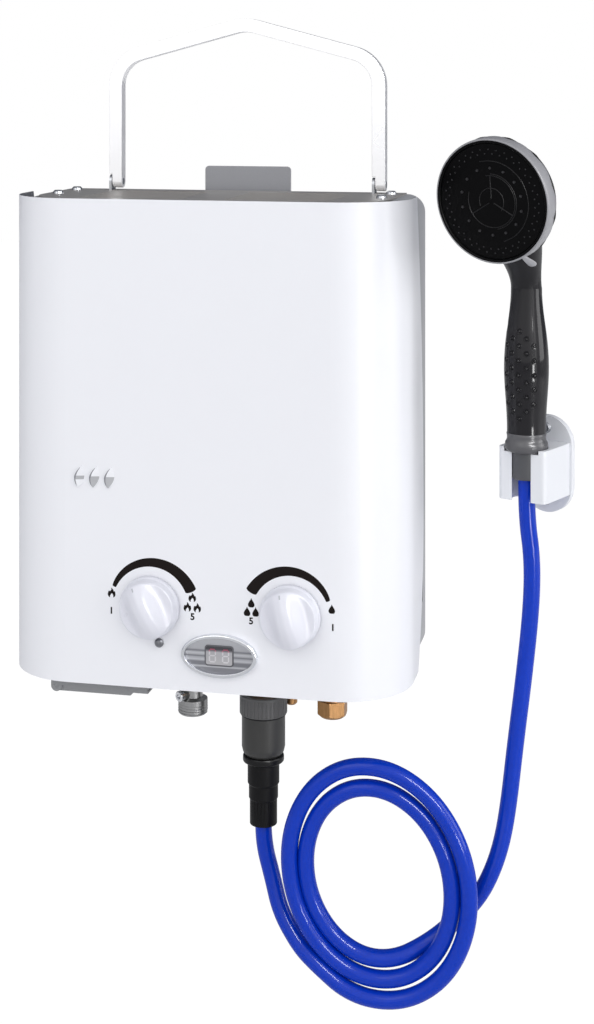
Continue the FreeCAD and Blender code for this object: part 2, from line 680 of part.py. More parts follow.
def handle_ears():
    """Two angle brackets under the top flange; each ear lies in the recess of a leg."""
    under = shell_top - sheet
    ears = []
    for edge in leg_edges():
        front, back = span(handle_y, handle_bar)
        ear = box((edge, edge + ear_sheet), (front, back), (under - ear_sheet, pivot_z))
        head = rod(foot_radius, (edge, handle_y, pivot_z), ACROSS, ear_sheet)
        foot = box((edge, edge + ear_foot), (front - 4, back), (under - ear_sheet, under))
        hole = rod(pivot_radius, (edge - 1, handle_y, pivot_z), ACROSS, ear_sheet + 2)
        ears.append(fuse([ear, head, foot]).cut(hole))
    return group(ears)


def handle_pivots():
    """Two rivets, fixed in the ears, on which the legs turn."""
    return group([rod(pivot_radius, (edge, handle_y, pivot_z), ACROSS, handle_bar) for edge in leg_edges()])


# ---------------------------------------------------------------- knobs, badge and display
def knob(x, rest):
    """Round knob with a roof-shaped grip between two scoops and a pointer groove at its end."""
    outline = ((0, 0), (knob_radius, 0), (knob_radius, knob_skirt),
               (knob_top_radius, knob_height - knob_edge), (knob_top_radius - knob_edge, knob_height),
               (0, knob_height))
    socket = rod(spindle_radius + socket_gap, (0, 0, 0), UP, socket_depth)
    pointer = box(span(0, pointer_width), (knob_top_radius - knob_edge, knob_radius + 1),
                  (knob_skirt + 1, knob_height - 3))
    body = turned(outline).cut(group([scoop(-1), scoop(1), socket, pointer]))
    body.rotate(Vector(), Vector(*UP), rest)
    body.rotate(Vector(), Vector(*ACROSS), 90)
    body.translate(Vector(x, front_y - knob_gap, control_z))
    return body


def scoop(side):
    """Cutting body beside the grip: slanting flank, hollow quarter circle, flat floor."""
    reach = 2 * knob_radius
    hollow_x, hollow_z = knob_shoulder + knob_scoop, knob_floor + knob_scoop
    slant = knob_scoop * math.sqrt(0.5)
    section = ((knob_crest, knob_height), (knob_shoulder, knob_shoulder_height), (knob_shoulder, hollow_z),
               (hollow_x - slant, hollow_z - slant), (hollow_x, knob_floor), (reach, knob_floor),
               (reach, reach), (knob_crest, reach))
    points = [Vector(side * x, -reach, z) for x, z in section]
    arc = Part.Arc(points[2], points[3], points[4]).toShape()
    edges = [line(points[0], points[1]), line(points[1], points[2]), arc]
    edges.extend(line(start, end) for start, end in zip(points[4:], points[5:] + points[:1]))
    return Part.Face(Part.Wire(edges)).extrude(Vector(0, 2 * reach, 0))


def spindle(x):
    """Valve spindle from the knob's socket into the valve."""
    start = front_y - knob_gap - socket_depth + socket_end_gap
    end = valve_front - boss_length + spindle_reach
    return rod(spindle_radius, (x, start, control_z), BACK, end - start)


def badge_bezel():
    """Oval chrome rim that stands on the cover."""
    half_width, half_height = badge_width / 2, badge_height / 2
    rim = ellipse_prism(half_width, half_height, (control_x, front_y, badge_z), -bezel_height)
    front_edges = [edge for edge in rim.Edges if edge.BoundBox.YMax < front_y - bezel_height + TINY]
    rim = rim.makeFillet(bezel_edge, front_edges)
    return rim.cut(ellipse_prism(half_width - bezel_width, half_height - bezel_width,
                                 (control_x, front_y + 1, badge_z), -bezel_height - 2))


def badge_plate():
    """Brushed oval plate inside the rim, with the display window."""
    inset = bezel_width + badge_gap
    plate = ellipse_prism(badge_width / 2 - inset, badge_height / 2 - inset, (control_x, front_y, badge_z),
                          -badge_plate_height)
    return plate.cut(box(span(control_x, window_width), (front_y - 2 * badge_plate_height, front_y + 1),
                         span(badge_z, window_height)))


def display_window():
    """Clear window in the badge plate."""
    return box(span(control_x, window_width - 2 * badge_gap), (front_y - badge_plate_height + slip, front_y),
               span(badge_z, window_height - 2 * badge_gap))


def display_module():
    """Circuit board with a two-digit display, behind the cover's front."""
    front = front_y + sheet
    board = box(span(control_x, board_width), (front, front + board_sheet), span(badge_z, board_height))
    block = box(span(control_x, display_width), (front + board_sheet / 2, front + display_depth),
                span(badge_z, display_height))
    return fuse([board, block])


def cover_screw():
    """Dark domed screw that holds the cover to its tab."""
    outline = ((0, 0), (cover_screw_head, 0), (cover_screw_head, 0.8), (cover_screw_head - 1.2, 2.0),
               (0, 2.4))
    start = (cover_screw_x, front_y, cover_screw_z)
    return fuse([turned(outline, start, FORWARD), rod(cover_screw_shank, start, BACK, cover_screw_length)])


# ---------------------------------------------------------------- gas and water
def valve_block(left, right, knob_x):
    """Valve body with its spindle boss and the spindle's bore."""
    body = box((left, right), (valve_front, valve_rear), (valve_bottom, valve_top))
    start = (knob_x, valve_front - boss_length, control_z)
    boss = rod(boss_radius, start, BACK, boss_length + 1)
    return fuse([body, boss]).cut(rod(spindle_radius + touch, start, BACK, spindle_reach + 2))


def gas_valve():
    """Gas valve with its inlet bore and push-rod bore."""
    rod_bore = rod(rod_radius + touch, (gas_valve_right, fitting_y, rod_z), (-1, 0, 0),
                   rod_reach + 2 * rod_travel)
    inlet = rod(gas_bore, (gas_x, fitting_y, valve_bottom), UP, valve_height / 2)
    return valve_block(gas_valve_left, gas_valve_right, gas_knob_x).cut(group([rod_bore, inlet]))


def water_valve():
    """Brass water valve with its drain boss."""
    drain_end_z = valve_bottom - drain_boss_length
    drain = rod(drain_boss, (drain_x, drain_y, drain_end_z), UP, drain_boss_length + 1)
    cuts = [rod(water_bore, (water_x, fitting_y, valve_bottom), UP, valve_height / 2),
            rod(drain_radius - drain_boss_wall, (drain_x, drain_y, drain_end_z), UP, drain_boss_length + 1)]
    return fuse([valve_block(water_valve_left, water_valve_right, water_knob_x), drain]).cut(group(cuts))


def diaphragm_housing():
    """Flanged drum beside the water valve; its diaphragm drives the push rod."""
    neck, drum = diaphragm_radius - 6, diaphragm_radius - 4
    rim_low, rim_high = span(diaphragm_width / 2, diaphragm_rim)
    outline = ((0, 0), (neck, 0), (drum, 4), (drum, rim_low), (diaphragm_radius, rim_low),
               (diaphragm_radius, rim_high), (drum, rim_high), (neck, diaphragm_width), (0, diaphragm_width))
    start = (water_valve_left - diaphragm_width, fitting_y, rod_z)
    return turned(outline, start, ACROSS).cut(rod(rod_radius + touch, start, ACROSS, rod_reach))


def push_rod():
    """Rod from the diaphragm to the gas valve, with the collar that trips the microswitch."""
    left = gas_valve_right - rod_reach
    right = water_valve_left - diaphragm_width + rod_reach - rod_travel
    collar_x = gas_valve_right + switch_length - 4
    return fuse([rod(rod_radius, (left, fitting_y, rod_z), ACROSS, right - left),
                 rod(rod_collar, (collar_x, fitting_y, rod_z), ACROSS, 2)])


def microswitch():
    """Switch above the push rod, against the gas valve, with its lever behind the collar."""
    right = gas_valve_right + switch_length
    bottom = rod_z + rod_collar + 1
    body = box((gas_valve_right, right), span(fitting_y, switch_depth), (bottom, bottom + switch_height))
    lever = box((right, right + 0.6), span(fitting_y, 4), (bottom - 3, bottom + 10))
    return fuse([body, lever])


def gas_inlet():
    """Threaded gas inlet with a narrower stem, a seat on the floor plate and a test-screw boss."""
    thread_top, seat_top = gas_end + gas_thread_length, floor_top + flange_height
    outline = ((gas_bore, gas_end), (gas_thread - 1, gas_end), (gas_thread, gas_end + 1),
               (gas_thread, thread_top), (gas_stem, thread_top + 1.5), (gas_stem, floor_top),
               (flange_radius, floor_top), (flange_radius, seat_top), (gas_stem, seat_top),
               (gas_stem, valve_bottom), (gas_bore, valve_bottom))
    start, direction = test_point(gas_stem - 2)
    body = fuse([turned(outline, (gas_x, fitting_y, 0)), rod(test_boss, start, direction, test_boss_length)])
    return body.cut(rod(gas_bore, (gas_x, fitting_y, gas_end), UP, valve_bottom - gas_end))


def test_point(reach):
    """Point at a reach from the gas stem's axis towards the test screw, and that direction."""
    angle = math.radians(test_angle)
    direction = (-math.sin(angle), -math.cos(angle), 0)
    return (gas_x + reach * direction[0], fitting_y + reach * direction[1], gas_end + test_rise), direction


def gas_test_screw():
    """Socket-head screw that closes the pressure test point."""
    start, direction = test_point(gas_stem - 2 + test_boss_length)
    outline = ((0, 0), (3.8, 0), (3.8, 2.6), (3.2, 3.2), (1.9, 3.2), (1.9, 1.4), (0, 1.4))
    return turned(outline, start, direction)


def water_inlet():
    """Brass inlet: hexagon with a female thread, stem and a seat on the floor plate."""
    foot = (water_x, fitting_y, water_end)
    corner = Vector(water_hex / math.sqrt(3), 0, 0)
    corners = [FreeCAD.Rotation(Vector(*UP), 60 * k + 30) * corner + Vector(*foot) for k in range(7)]
    hexagon = Part.Face(Part.makePolygon(corners)).extrude(Vector(0, 0, water_hex_length))
    low, high = corner.x - 3, corner.x + 0.4
    chamfer = turned(((0, 0), (low, 0), (high, 3), (high, water_hex_length), (0, water_hex_length)), foot)
    top, stem = water_end + water_hex_length, water_thread + stem_wall
    seat_top = floor_top + flange_height
    outline = ((0, top - 1), (stem, top - 1), (stem, floor_top), (flange_radius, floor_top),
               (flange_radius, seat_top), (water_thread, seat_top), (water_thread, valve_bottom),
               (0, valve_bottom))
    thread = rod(water_thread, foot, UP, water_hex_length)
    bore = rod(water_bore, foot, UP, valve_bottom - water_end)
    body = fuse([hexagon.common(chamfer), turned(outline, (water_x, fitting_y, 0))])
    return body.cut(group([thread, bore]))


def drain_plug():
    """Small brass plug that empties the water valve."""
    top = valve_bottom - drain_boss_length
    outline = ((0, drain_end), (drain_radius - 1.2, drain_end), (drain_radius, drain_end + 1.2),
               (drain_radius, top), (0, top))
    return turned(outline, (drain_x, drain_y, 0))


def hot_outlet():
    """Brass elbow on the floor plate whose nipple takes the quick connector."""
    block = box(span(outlet_x, 2 * elbow_half), (fitting_y - elbow_front, fitting_y + elbow_rear),
                (floor_top, floor_top + elbow_height))
    drop = floor_top - nipple_end
    nipple = rod(nipple_radius, (outlet_x, fitting_y, nipple_end), UP, drop + 1)
    bore = rod(nipple_bore, (outlet_x, fitting_y, nipple_end), UP, drop + elbow_port_rise + 1)
    port = rod(riser_pipe_radius - riser_pipe_wall, (outlet_x, fitting_y, floor_top + elbow_port_rise), BACK,
               elbow_rear)
    return fuse([block, nipple]).cut(fuse([bore, port]))


def gas_pipe():
    """Pipe from the gas valve's top to the rail."""
    x, high = gas_knob_x + 4, valve_top + gas_pipe_rise
    rail_y = rail_rear - rail_size / 2
    points = ((x, fitting_y - 5, valve_top), (x, fitting_y - 5, high), (x, rail_y, high),
              (x, rail_y, rail_z - rail_size / 2))
    return bent_pipe(points, (gas_pipe_bend, gas_pipe_bend), gas_pipe_radius, gas_pipe_wall)


def gas_rail():
    """Square gas rail across the burner's front, with one injector for each bar."""
    rail = box((core_left, core_right), (rail_rear - rail_size, rail_rear), span(rail_z, rail_size))
    injectors = [rod(injector_radius, (x, rail_rear - 1, rail_z), BACK, injector_length)
                 for x in bar_places()]
    return fuse([rail] + injectors)


def bar_places():
    """Middle of each burner bar."""
    pitch = 2 * (core_half - bar_margin) / bar_count
    return [core_left + bar_margin + pitch * (k + 0.5) for k in range(bar_count)]


def burner_bars():
    """Seven hollow burner bars with slots along the top and a gas mouth in front, one solid each."""
    floor = frame_bottom + tray_sheet
    top = floor + bar_height
    front, back = core_front + bar_gap, core_rear - bar_gap
    slot_total = int((back - front) / bar_slot_pitch) - 1
    bars = []
    for x in bar_places():
        slots = [box(span(x, bar_slot_width), span(front + bar_slot_pitch * (k + 1), bar_slot),
                     (top - 2 * bar_wall, top + 1)) for k in range(slot_total)]
        hollow = box(span(x, bar_width - 2 * bar_wall), (front + bar_wall, back - bar_wall),
                     (floor + bar_wall, top - bar_wall))
        mouth = rod(bar_mouth, (x, front, rail_z), BACK, 2 * bar_wall)
        bars.append(box(span(x, bar_width), (front, back), (floor, top)).cut(group(slots + [hollow, mouth])))
    return group(bars)


def burner_frame():
    """Tray under the bars, with side plates that reach the rear panel."""
    tray = box((core_left, core_right), (core_front, core_rear), (frame_bottom, frame_bottom + tray_sheet))
    air = [box(span(x, bar_slot_width + 1), (core_front + air_margin, core_rear - air_margin),
               (frame_bottom - 1, frame_bottom + tray_sheet + 1)) for x in bar_places()]
    sides = [box((x, x + frame_sheet), (rail_rear, rear_y - sheet), (frame_bottom, chamber_bottom))
             for x in (core_left, core_right - frame_sheet)]
    return fuse([tray.cut(group(air))] + sides)


def duct(bottom, top):
    """Rectangular sheet duct of the burner's plan."""
    wall = duct_sheet
    outer = box((core_left, core_right), (core_front, core_rear), (bottom, top))
    inner = box((core_left + wall, core_right - wall), (core_front + wall, core_rear - wall),
                (bottom - 1, top + 1))
    return outer.cut(inner)


def combustion_chamber():
    """Copper duct from the burner to the heat exchanger, with holes for the two probes."""
    holes = [rod(radius + slip, (body_x + offset, core_front - 1, probe_z), BACK, 2 + duct_sheet)
             for offset, radius in zip(probe_offsets, probe_radii)]
    return duct(chamber_bottom, chamber_top).cut(group(holes))


def exchanger_rows():
    """Y of each water pipe in the exchanger."""
    first, last = core_front + pipe_margin, core_rear - pipe_margin
    return [first + (last - first) * k / (pipe_count - 1) for k in range(pipe_count)]


def heat_exchanger():
    """Finned copper block with a serpentine of four pipes and three return bends."""
    rows = exchanger_rows()
    length = core_right - core_left
    pitch = (length - fin_sheet) / (fin_count - 1)
    starts = [core_left + k * pitch for k in range(fin_count)]
    fins = [box((x, x + fin_sheet), (core_front, core_rear), (chamber_top, exchanger_top)) for x in starts]
    pipes = [rod(pipe_radius, (core_left, y, pipe_z), ACROSS, length) for y in rows]
    bends = [return_bend(core_left, rows[0], rows[1], -1), return_bend(core_right, rows[1], rows[2], 1),
             return_bend(core_left, rows[2], rows[3], -1)]
    ports = [rod(pipe_radius, (core_right, y, pipe_z), ACROSS, port_length) for y in (rows[0], rows[-1])]
    bores = [rod(pipe_radius - pipe_wall, (core_left - 0.5, y, pipe_z), ACROSS, length + port_length + 1)
             for y in rows]
    return fuse(fins + pipes + bends + ports).cut(group(bores))


def return_bend(x, first, second, side):
    """Half ring that joins two neighbouring pipes."""
    middle, spread = (first + second) / 2, second - first
    ring = Part.makeTorus(spread / 2, pipe_radius, Vector(x, middle, pipe_z), Vector(*UP))
    reach = sorted((x, x + side * (spread + pipe_radius)))
    return ring.common(box(reach, span(middle, spread + 4 * pipe_radius), span(pipe_z, 3 * pipe_radius)))


def flue_hood():
    """Sheet duct from the exchanger to the grille."""
    return duct(exchanger_top, shell_top)


def cold_pipe():
    """Copper pipe from the water valve's top to the exchanger."""
    y = exchanger_rows()[0]
    points = ((cold_x, y, valve_top), (cold_x, y, pipe_z), (core_right + port_length, y, pipe_z))
    return bent_pipe(points, (cold_bend,), riser_pipe_radius, riser_pipe_wall)


def hot_pipe():
    """Copper pipe from the exchanger down behind the valves to the outlet elbow."""
    y, low = exchanger_rows()[-1], floor_top + elbow_port_rise
    points = ((core_right + port_length, y, pipe_z), (hot_x, y, pipe_z), (hot_x, y, low), (outlet_x, y, low),
              (outlet_x, fitting_y + elbow_rear, low))
    return bent_pipe(points, (hot_bend, hot_bend, hot_bend), riser_pipe_radius, riser_pipe_wall)


def probe(offset, radius):
    """Ceramic rod with a bare wire tip over the burner."""
    x = body_x + offset
    tip = core_front + ceramic_length - 11
    return fuse([rod(radius, (x, core_front - 10, probe_z), BACK, ceramic_length),
                 rod(tip_radius, (x, tip, probe_z), BACK, tip_length)])


def ignition_box():
    """Black pulse-igniter module on the rear panel, with its mounting flange."""
    rear = rear_y - sheet
    left, bottom = core_left + igniter_place[0], floor_top + igniter_place[1]
    width, depth, height = igniter_size
    block = box((left, left + width), (rear - depth, rear), (bottom, bottom + height))
    flange = box((left, left + width), (rear - 2, rear), (bottom - 6, bottom + height + 6))
    return fuse([block, flange])


def overheat_cutoff():
    """Round thermal switch clamped to the hot pipe."""
    start = (hot_x + riser_pipe_radius, exchanger_rows()[-1], chamber_top - cutoff_drop)
    return fuse([rod(cutoff_radius, start, ACROSS, 5), rod(3, start, ACROSS, 8)])


def tilt_switch():
    """Small tip-over switch on the rear panel."""
    rear = rear_y - sheet
    left, bottom = core_right + tilt_place[0], valve_top + tilt_place[1]
    width, depth, height = tilt_size
    return box((left, left + width), (rear - depth, rear), (bottom, bottom + height))


# ---------------------------------------------------------------- batteries
def battery_box():
    """Open-bottomed box for two D cells, with two ears that hold the door's hinge pins."""
    wall, rim = battery_wall, battery_flange
    outer = box((battery_left, battery_right), (battery_front, battery_rear), (battery_rim, battery_top))
    flange = box((battery_left - rim, battery_right + rim), (battery_front - rim, battery_rear + rim),
                 (floor_top, floor_top + battery_flange_sheet))
    ears = [rod(knuckle_radius, (hinge_x, y, hinge_z), BACK, wall)
            for y in (battery_front, battery_rear - wall)]
    within = (battery_front + wall, battery_rear - wall)
    inner = box((battery_left + wall, battery_right - wall), within, (battery_bottom, battery_top - wall))
    hinge_room = box((battery_left - 1, hinge_x + knuckle_radius + 1), within,
                     (battery_bottom - 1, hinge_z + knuckle_radius + 2 * slip))
    pins = rod(hinge_pin + touch, (hinge_x, battery_front, hinge_z), BACK, battery_rear - battery_front)
    return fuse([outer, flange] + ears).cut(fuse([inner, hinge_room, pins]))


def battery_door():
    """Door whose left edge is its hinge knuckle; the thick panel steps down to the latch edge."""
    front, rear = battery_front + battery_wall + door_gap, battery_rear - battery_wall - door_gap
    top = battery_rim - door_gap
    knuckle = rod(knuckle_radius, (hinge_x, front, hinge_z), BACK, rear - front)
    panel = box((hinge_x, battery_right - latch_width), (front, rear), (battery_bottom, top))
    step = box((hinge_x, battery_right), (front, rear), (top - door_sheet, top))
    low_right = [edge for edge in along_y(panel) if edge.BoundBox.XMin > hinge_x and edge.BoundBox.ZMax < top]
    panel = panel.makeFillet(door_edge, low_right)
    pins = rod(hinge_pin, (hinge_x, battery_front, hinge_z), BACK, battery_rear - battery_front)
    return fuse([knuckle, panel, step, pins])


def battery_cells():
    """Two D cells side by side."""
    left = battery_left + battery_wall + cell_spring
    middle = (battery_front + battery_rear) / 2
    z = battery_top - battery_wall - cell_top_gap - cell_radius
    cells = []
    for y in span(middle, 2 * (cell_radius + cell_gap)):
        barrel = rod(cell_radius, (left + cell_tip_length, y, z), ACROSS, cell_length - cell_tip_length)
        cells.append(fuse([barrel, rod(cell_tip_radius, (left, y, z), ACROSS, 2 * cell_tip_length)]))
    return group(cells)


# ---------------------------------------------------------------- quick connector
def connector_body():
    """Coupling body: neck under the sliding collar, barrel with a rounded lower edge."""
    socket, shelf = nipple_radius + 0.1, nipple_end - 4
    outline = ((socket, neck_top), (neck_radius, neck_top), (neck_radius, coupler_shoulder),
               (coupler_radius, coupler_shoulder), (coupler_radius, coupler_bottom + 6),
               (coupler_radius - 0.8, coupler_bottom + 2.5), (coupler_radius - 2.5, coupler_bottom),
               (hose_bore, coupler_bottom), (hose_bore, shelf), (socket, shelf))
    return turned(outline, (outlet_x, fitting_y, 0))


def connector_sleeve():
    """Ribbed collar that slides down to release the coupling."""
    shelf = coupler_shoulder + sleeve_travel + tail_gap
    bore, skirt = neck_radius + touch, coupler_radius + slip
    outline = ((bore, sleeve_top), (sleeve_radius - 0.6, sleeve_top), (sleeve_radius, sleeve_top - 0.8),
               (sleeve_radius, sleeve_bottom + 0.5), (sleeve_radius - 0.5, sleeve_bottom),
               (skirt, sleeve_bottom), (skirt, shelf), (bore, shelf))
    collar = turned(outline, (outlet_x, fitting_y, 0))
    reach = sleeve_radius + rib_radius - rib_depth
    grooves = []
    for k in range(rib_count):
        angle = 2 * math.pi * k / rib_count
        foot = (outlet_x + reach * math.cos(angle), fitting_y + reach * math.sin(angle), sleeve_bottom + 1)
        grooves.append(rod(rib_radius, foot, UP, sleeve_length - 3.5))
    return collar.cut(group(grooves))


def hose_nut():
    """Black ring nut between the coupling and the hose boot."""
    outline = ((hose_bore, nut_bottom), (nut_radius - 1.5, nut_bottom), (nut_radius, nut_bottom + 1),
               (nut_radius, coupler_bottom - 0.8), (nut_radius - 0.8, coupler_bottom),
               (hose_bore, coupler_bottom))
    return turned(outline, (outlet_x, fitting_y, 0))


def hose_boot():
    """Black rubber sleeve with two steps that the hose leaves from."""
    upper, lower = [nut_bottom - step for step in boot_steps]
    outline = ((hose_bore, boot_bottom), (boot_radius, boot_bottom), (boot_radius, lower),
               (boot_step_radius, lower + 1), (boot_step_radius, upper), (boot_top_radius, upper + 1),
               (boot_top_radius, nut_bottom), (hose_bore, nut_bottom))
    return turned(outline, (outlet_x, fitting_y, 0))


# ---------------------------------------------------------------- hose
def hose(name, points):
    """Free stretch of the hose, its volume compared with its section times its length.

    Each arc is as large as its runs allow: 0.45 of the shorter run over the tangent of half the turn.
    """
    corners = [Vector(*point) for point in points]
    radii = []
    for before, corner, after in zip(corners, corners[1:], corners[2:]):
        into, out = corner - before, after - corner
        radii.append(0.45 * min(into.Length, out.Length) / math.tan(into.getAngle(out) / 2))
    path = bent_path(points, radii)
    solid = swept_round(path, hose_diameter / 2)
    expected = math.pi * (hose_diameter / 2) ** 2 * path.Length
    print(name, "radii", [round(radius) for radius in radii], "length", round(path.Length, 1),
          "volume share", round(solid.Volume / expected, 4))
    return solid


def hose_coil():
    """The two loose turns as one closed band."""
    return coil_ellipse(coil_outer_share, 1).cut(coil_ellipse(coil_inner_share, -1))


def coil_ellipse(share, side):
    """Ellipse of the hose's outer or inner skin at a share of the band's middle size."""
    skin = side * hose_diameter / 2
    x, y, z = coil_centre
    return ellipse_prism(coil_half_width * share + skin, coil_half_height * share + skin,
                         (x, y - coil_thickness / 2, z), coil_thickness, -coil_lean)


# ---------------------------------------------------------------- hand shower
def facing(shape):
    """Shape built at the grip's axis facing -Y, turned to where the shower faces."""
    shape.rotate(Vector(), Vector(*UP), -shower_turn)
    shape.translate(Vector(shower_x, shower_y, 0))
    return shape


def on_head(shape):
    """Shape built about +Z with the spray face at Z = 0 and the back at negative Z, put on the head."""
    shape.rotate(Vector(), Vector(*ACROSS), 90 + head_tilt)
    shape.translate(Vector(0, -head_reach, head_z))
    return facing(shape)


def handset_body():
    """Grip, throat and domed back of the head in one moulding, with its waterway and face hub."""
    grip = facing(turned_smooth([(radius, shower_seat + rise) for radius, rise in grip_outline]))
    dome = on_head(turned(((0, -ring_back), (dome_radius, -ring_back), (dome_radius - 1, -ring_back - 5),
                           (dome_radius - 9, -dome_back + 8), (dome_back_radius, -dome_back),
                           (0, -dome_back))))
    chamber = on_head(turned(((0, -ring_back + 1), (hub_radius, -ring_back + 1), (hub_radius, -ring_back - 4),
                              (hub_radius - 10, -dome_back + 9), (0, -dome_back + 7))))
    waterway_bore = facing(rod(waterway, (0, 0, collar_top), UP, throat_z - collar_top))
    hub_top = -face_depth - 0.5
    hub = on_head(turned(((hub_radius + touch, hub_top), (hub_radius + hub_wall, hub_top),
                          (hub_radius + hub_wall, -ring_back), (hub_radius + touch, -ring_back))))
    return fuse([fuse([grip, throat(), dome]).cut(fuse([chamber, waterway_bore])), hub])


def throat():
    """Loft from the top of the grip forward into the back of the head."""
    wires = []
    for y, rise, growth, lean in neck_sections:
        angle = math.radians(lean)
        middle, normal = Vector(0, y, throat_z + rise), Vector(0, -math.sin(angle), math.cos(angle))
        wires.append(Part.Wire(Part.makeCircle(throat_radius + growth, middle, normal)))
    return facing(Part.makeLoft(wires, True, False))


def handset_face():
    """Black spray plate with its hub."""
    hub_end = -ring_back - hub_hook
    return on_head(turned(((0, 0.6), (face_radius - face_bevel, 0.6), (face_radius, 0),
                           (face_radius, -face_depth), (hub_radius, -face_depth), (hub_radius, hub_end),
                           (hub_radius - 2, hub_end), (hub_radius - 2, -face_depth), (0, -face_depth))))


def selector_ring():
    """Ring with shallow finger lobes and a tab that turns to change the spray."""
    bore, shelf, back = hub_radius + hub_wall + touch, -face_depth - 0.9, -ring_back + 0.6
    outline = ((ring_bore, ring_front + 2), (ring_bore + 0.8, ring_front + 3),
               (ring_radius - 1, ring_front + 2.2), (ring_radius, ring_front), (ring_radius, back),
               (bore, back), (bore, shelf), (ring_bore, shelf))
    reach = ring_radius + ring_lobe_radius - ring_lobe_depth
    lobes = []
    for k in range(ring_lobe_count):
        angle = 2 * math.pi * (k + 0.5) / ring_lobe_count
        foot = (reach * math.cos(angle), reach * math.sin(angle), -ring_back - 1)
        lobes.append(rod(ring_lobe_radius, foot, UP, ring_back - 1))
    end, depth = -ring_radius - tab_height + tab_width / 2, (-ring_back + 3, ring_front - 1)
    tab = fuse([box(span(0, tab_width), (end, -ring_radius + 1), depth),
                rod(tab_width / 2, (0, end, depth[0]), UP, depth[1] - depth[0])])
    tab.rotate(Vector(), Vector(*UP), tab_turn)
    return on_head(fuse([turned(outline).cut(group(lobes)), tab]))


def handset_collar():
    """Grey hose union under the grip: flared collar and a straight tail."""
    outline = ((hose_bore, tail_end), (tail_radius, tail_end), (tail_radius, collar_bottom),
               (collar_radius - 2, collar_bottom), (collar_radius, collar_bottom + collar_flare),
               (collar_radius, collar_top - 2), (collar_radius - 1.2, collar_top), (hose_bore, collar_top))
    return turned(outline, (shower_x, shower_y, 0))


# ---------------------------------------------------------------- shower holder
def holder_cradle():
    """White C-shaped cradle, open in front, with a seat for the collar."""
    block = box(span(0, 2 * cradle_half), (-cradle_front, cradle_rear), (cradle_bottom, cradle_top))
    block = block.makeFillet(cradle_corner, front_uprights(block))
    through = (cradle_bottom - 1, cradle_top + 1)
    cuts = [rod(tail_radius + tail_gap, (0, 0, through[0]), UP, through[1] - through[0]),
            rod(collar_radius + slip, (0, 0, shower_seat), UP, cradle_lip + 1),
            box(span(0, hose_diameter + 2 * slot_gap), (-cradle_front - 1, 0), through)]
    return facing(block.cut(group(cuts)))


def holder_plate():
    """White back plate with round ends and two screw holes."""
    straight = plate_height - plate_width
    bar = box(span(0, plate_width), (cradle_rear, cradle_rear + plate_sheet), span(plate_z, straight))
    ends = [rod(plate_width / 2, (0, cradle_rear, z), BACK, plate_sheet) for z in span(plate_z, straight)]
    holes = [rod(holder_screw_radius + screw_gap, (0, cradle_rear, z), BACK, plate_sheet)
             for z in span(plate_z, holder_screw_span)]
    return facing(fuse([bar] + ends).cut(group(holes)))


def holder_screws():
    """Two screws through the back plate, one solid each."""
    screws = []
    for z in span(plate_z, holder_screw_span):
        outline = ((0, 0), (holder_screw_head, 0), (holder_screw_head - 1, holder_screw_height),
                   (0, holder_screw_height))
        head = turned(outline, (0, cradle_rear, z), FORWARD)
        screws.append(facing(fuse([head, rod(holder_screw_radius, (0, cradle_rear, z), BACK, plate_sheet)])))
    return group(screws)


# ---------------------------------------------------------------- all pieces
pieces = {
    "front_cover": front_cover,
    "rear_shell": rear_shell,
    "top_grille": top_grille,
    "top_screws": top_screws,
    "bottom_plate": bottom_plate,
    "hanging_bracket": hanging_bracket,
    "wall_spacers": wall_spacers,
    "carry_handle": carry_handle,
    "handle_ears": handle_ears,
    "handle_pivots": handle_pivots,
    "gas_knob": lambda: knob(gas_knob_x, gas_knob_rest),
    "water_knob": lambda: knob(water_knob_x, water_knob_rest),
    "gas_spindle": lambda: spindle(gas_knob_x),
    "water_spindle": lambda: spindle(water_knob_x),
    "badge_bezel": badge_bezel,
    "badge_plate": badge_plate,
    "display_window": display_window,
    "display_module": display_module,
    "cover_screw": cover_screw,
    "gas_valve": gas_valve,
    "water_valve": water_valve,
    "diaphragm_housing": diaphragm_housing,
    "push_rod": push_rod,
    "microswitch": microswitch,
    "gas_inlet": gas_inlet,
    "gas_test_screw": gas_test_screw,
    "water_inlet": water_inlet,
    "drain_plug": drain_plug,
    "hot_outlet": hot_outlet,
    "gas_pipe": gas_pipe,
    "gas_rail": gas_rail,
    "burner_bars": burner_bars,
    "burner_frame": burner_frame,
    "combustion_chamber": combustion_chamber,
    "heat_exchanger": heat_exchanger,
    "flue_hood": flue_hood,
    "cold_pipe": cold_pipe,
    "hot_pipe": hot_pipe,
    "spark_electrode": lambda: probe(probe_offsets[0], probe_radii[0]),
    "flame_sensor": lambda: probe(probe_offsets[1], probe_radii[1]),
    "ignition_box": ignition_box,
    "overheat_cutoff": overheat_cutoff,
    "tilt_switch": tilt_switch,
    "battery_box": battery_box,
    "battery_door": battery_door,
    "battery_cells": battery_cells,
    "connector_body": connector_body,
    "connector_sleeve": connector_sleeve,
    "hose_nut": hose_nut,
    "hose_boot": hose_boot,
    "hose_lead": lambda: hose("hose_lead", lead_points),
    "hose_coil": hose_coil,
    "hose_riser": lambda: hose("hose_riser", riser_points),
    "handset_body": handset_body,
    "handset_face": handset_face,
    "selector_ring": selector_ring,
    "handset_collar": handset_collar,
    "holder_cradle": holder_cradle,
    "holder_plate": holder_plate,
    "holder_screws": holder_screws,
}

os.makedirs("parts", exist_ok=True)
for name, make in pieces.items():
    shape = make()
    shape.exportStep("parts/" + name + ".step")
    state = "" if shape.isValid() and shape.Volume > 0 else "  NOT VALID"
    print(f"{name:20s} solids {len(shape.Solids)} volume {shape.Volume:12.1f}{state}")
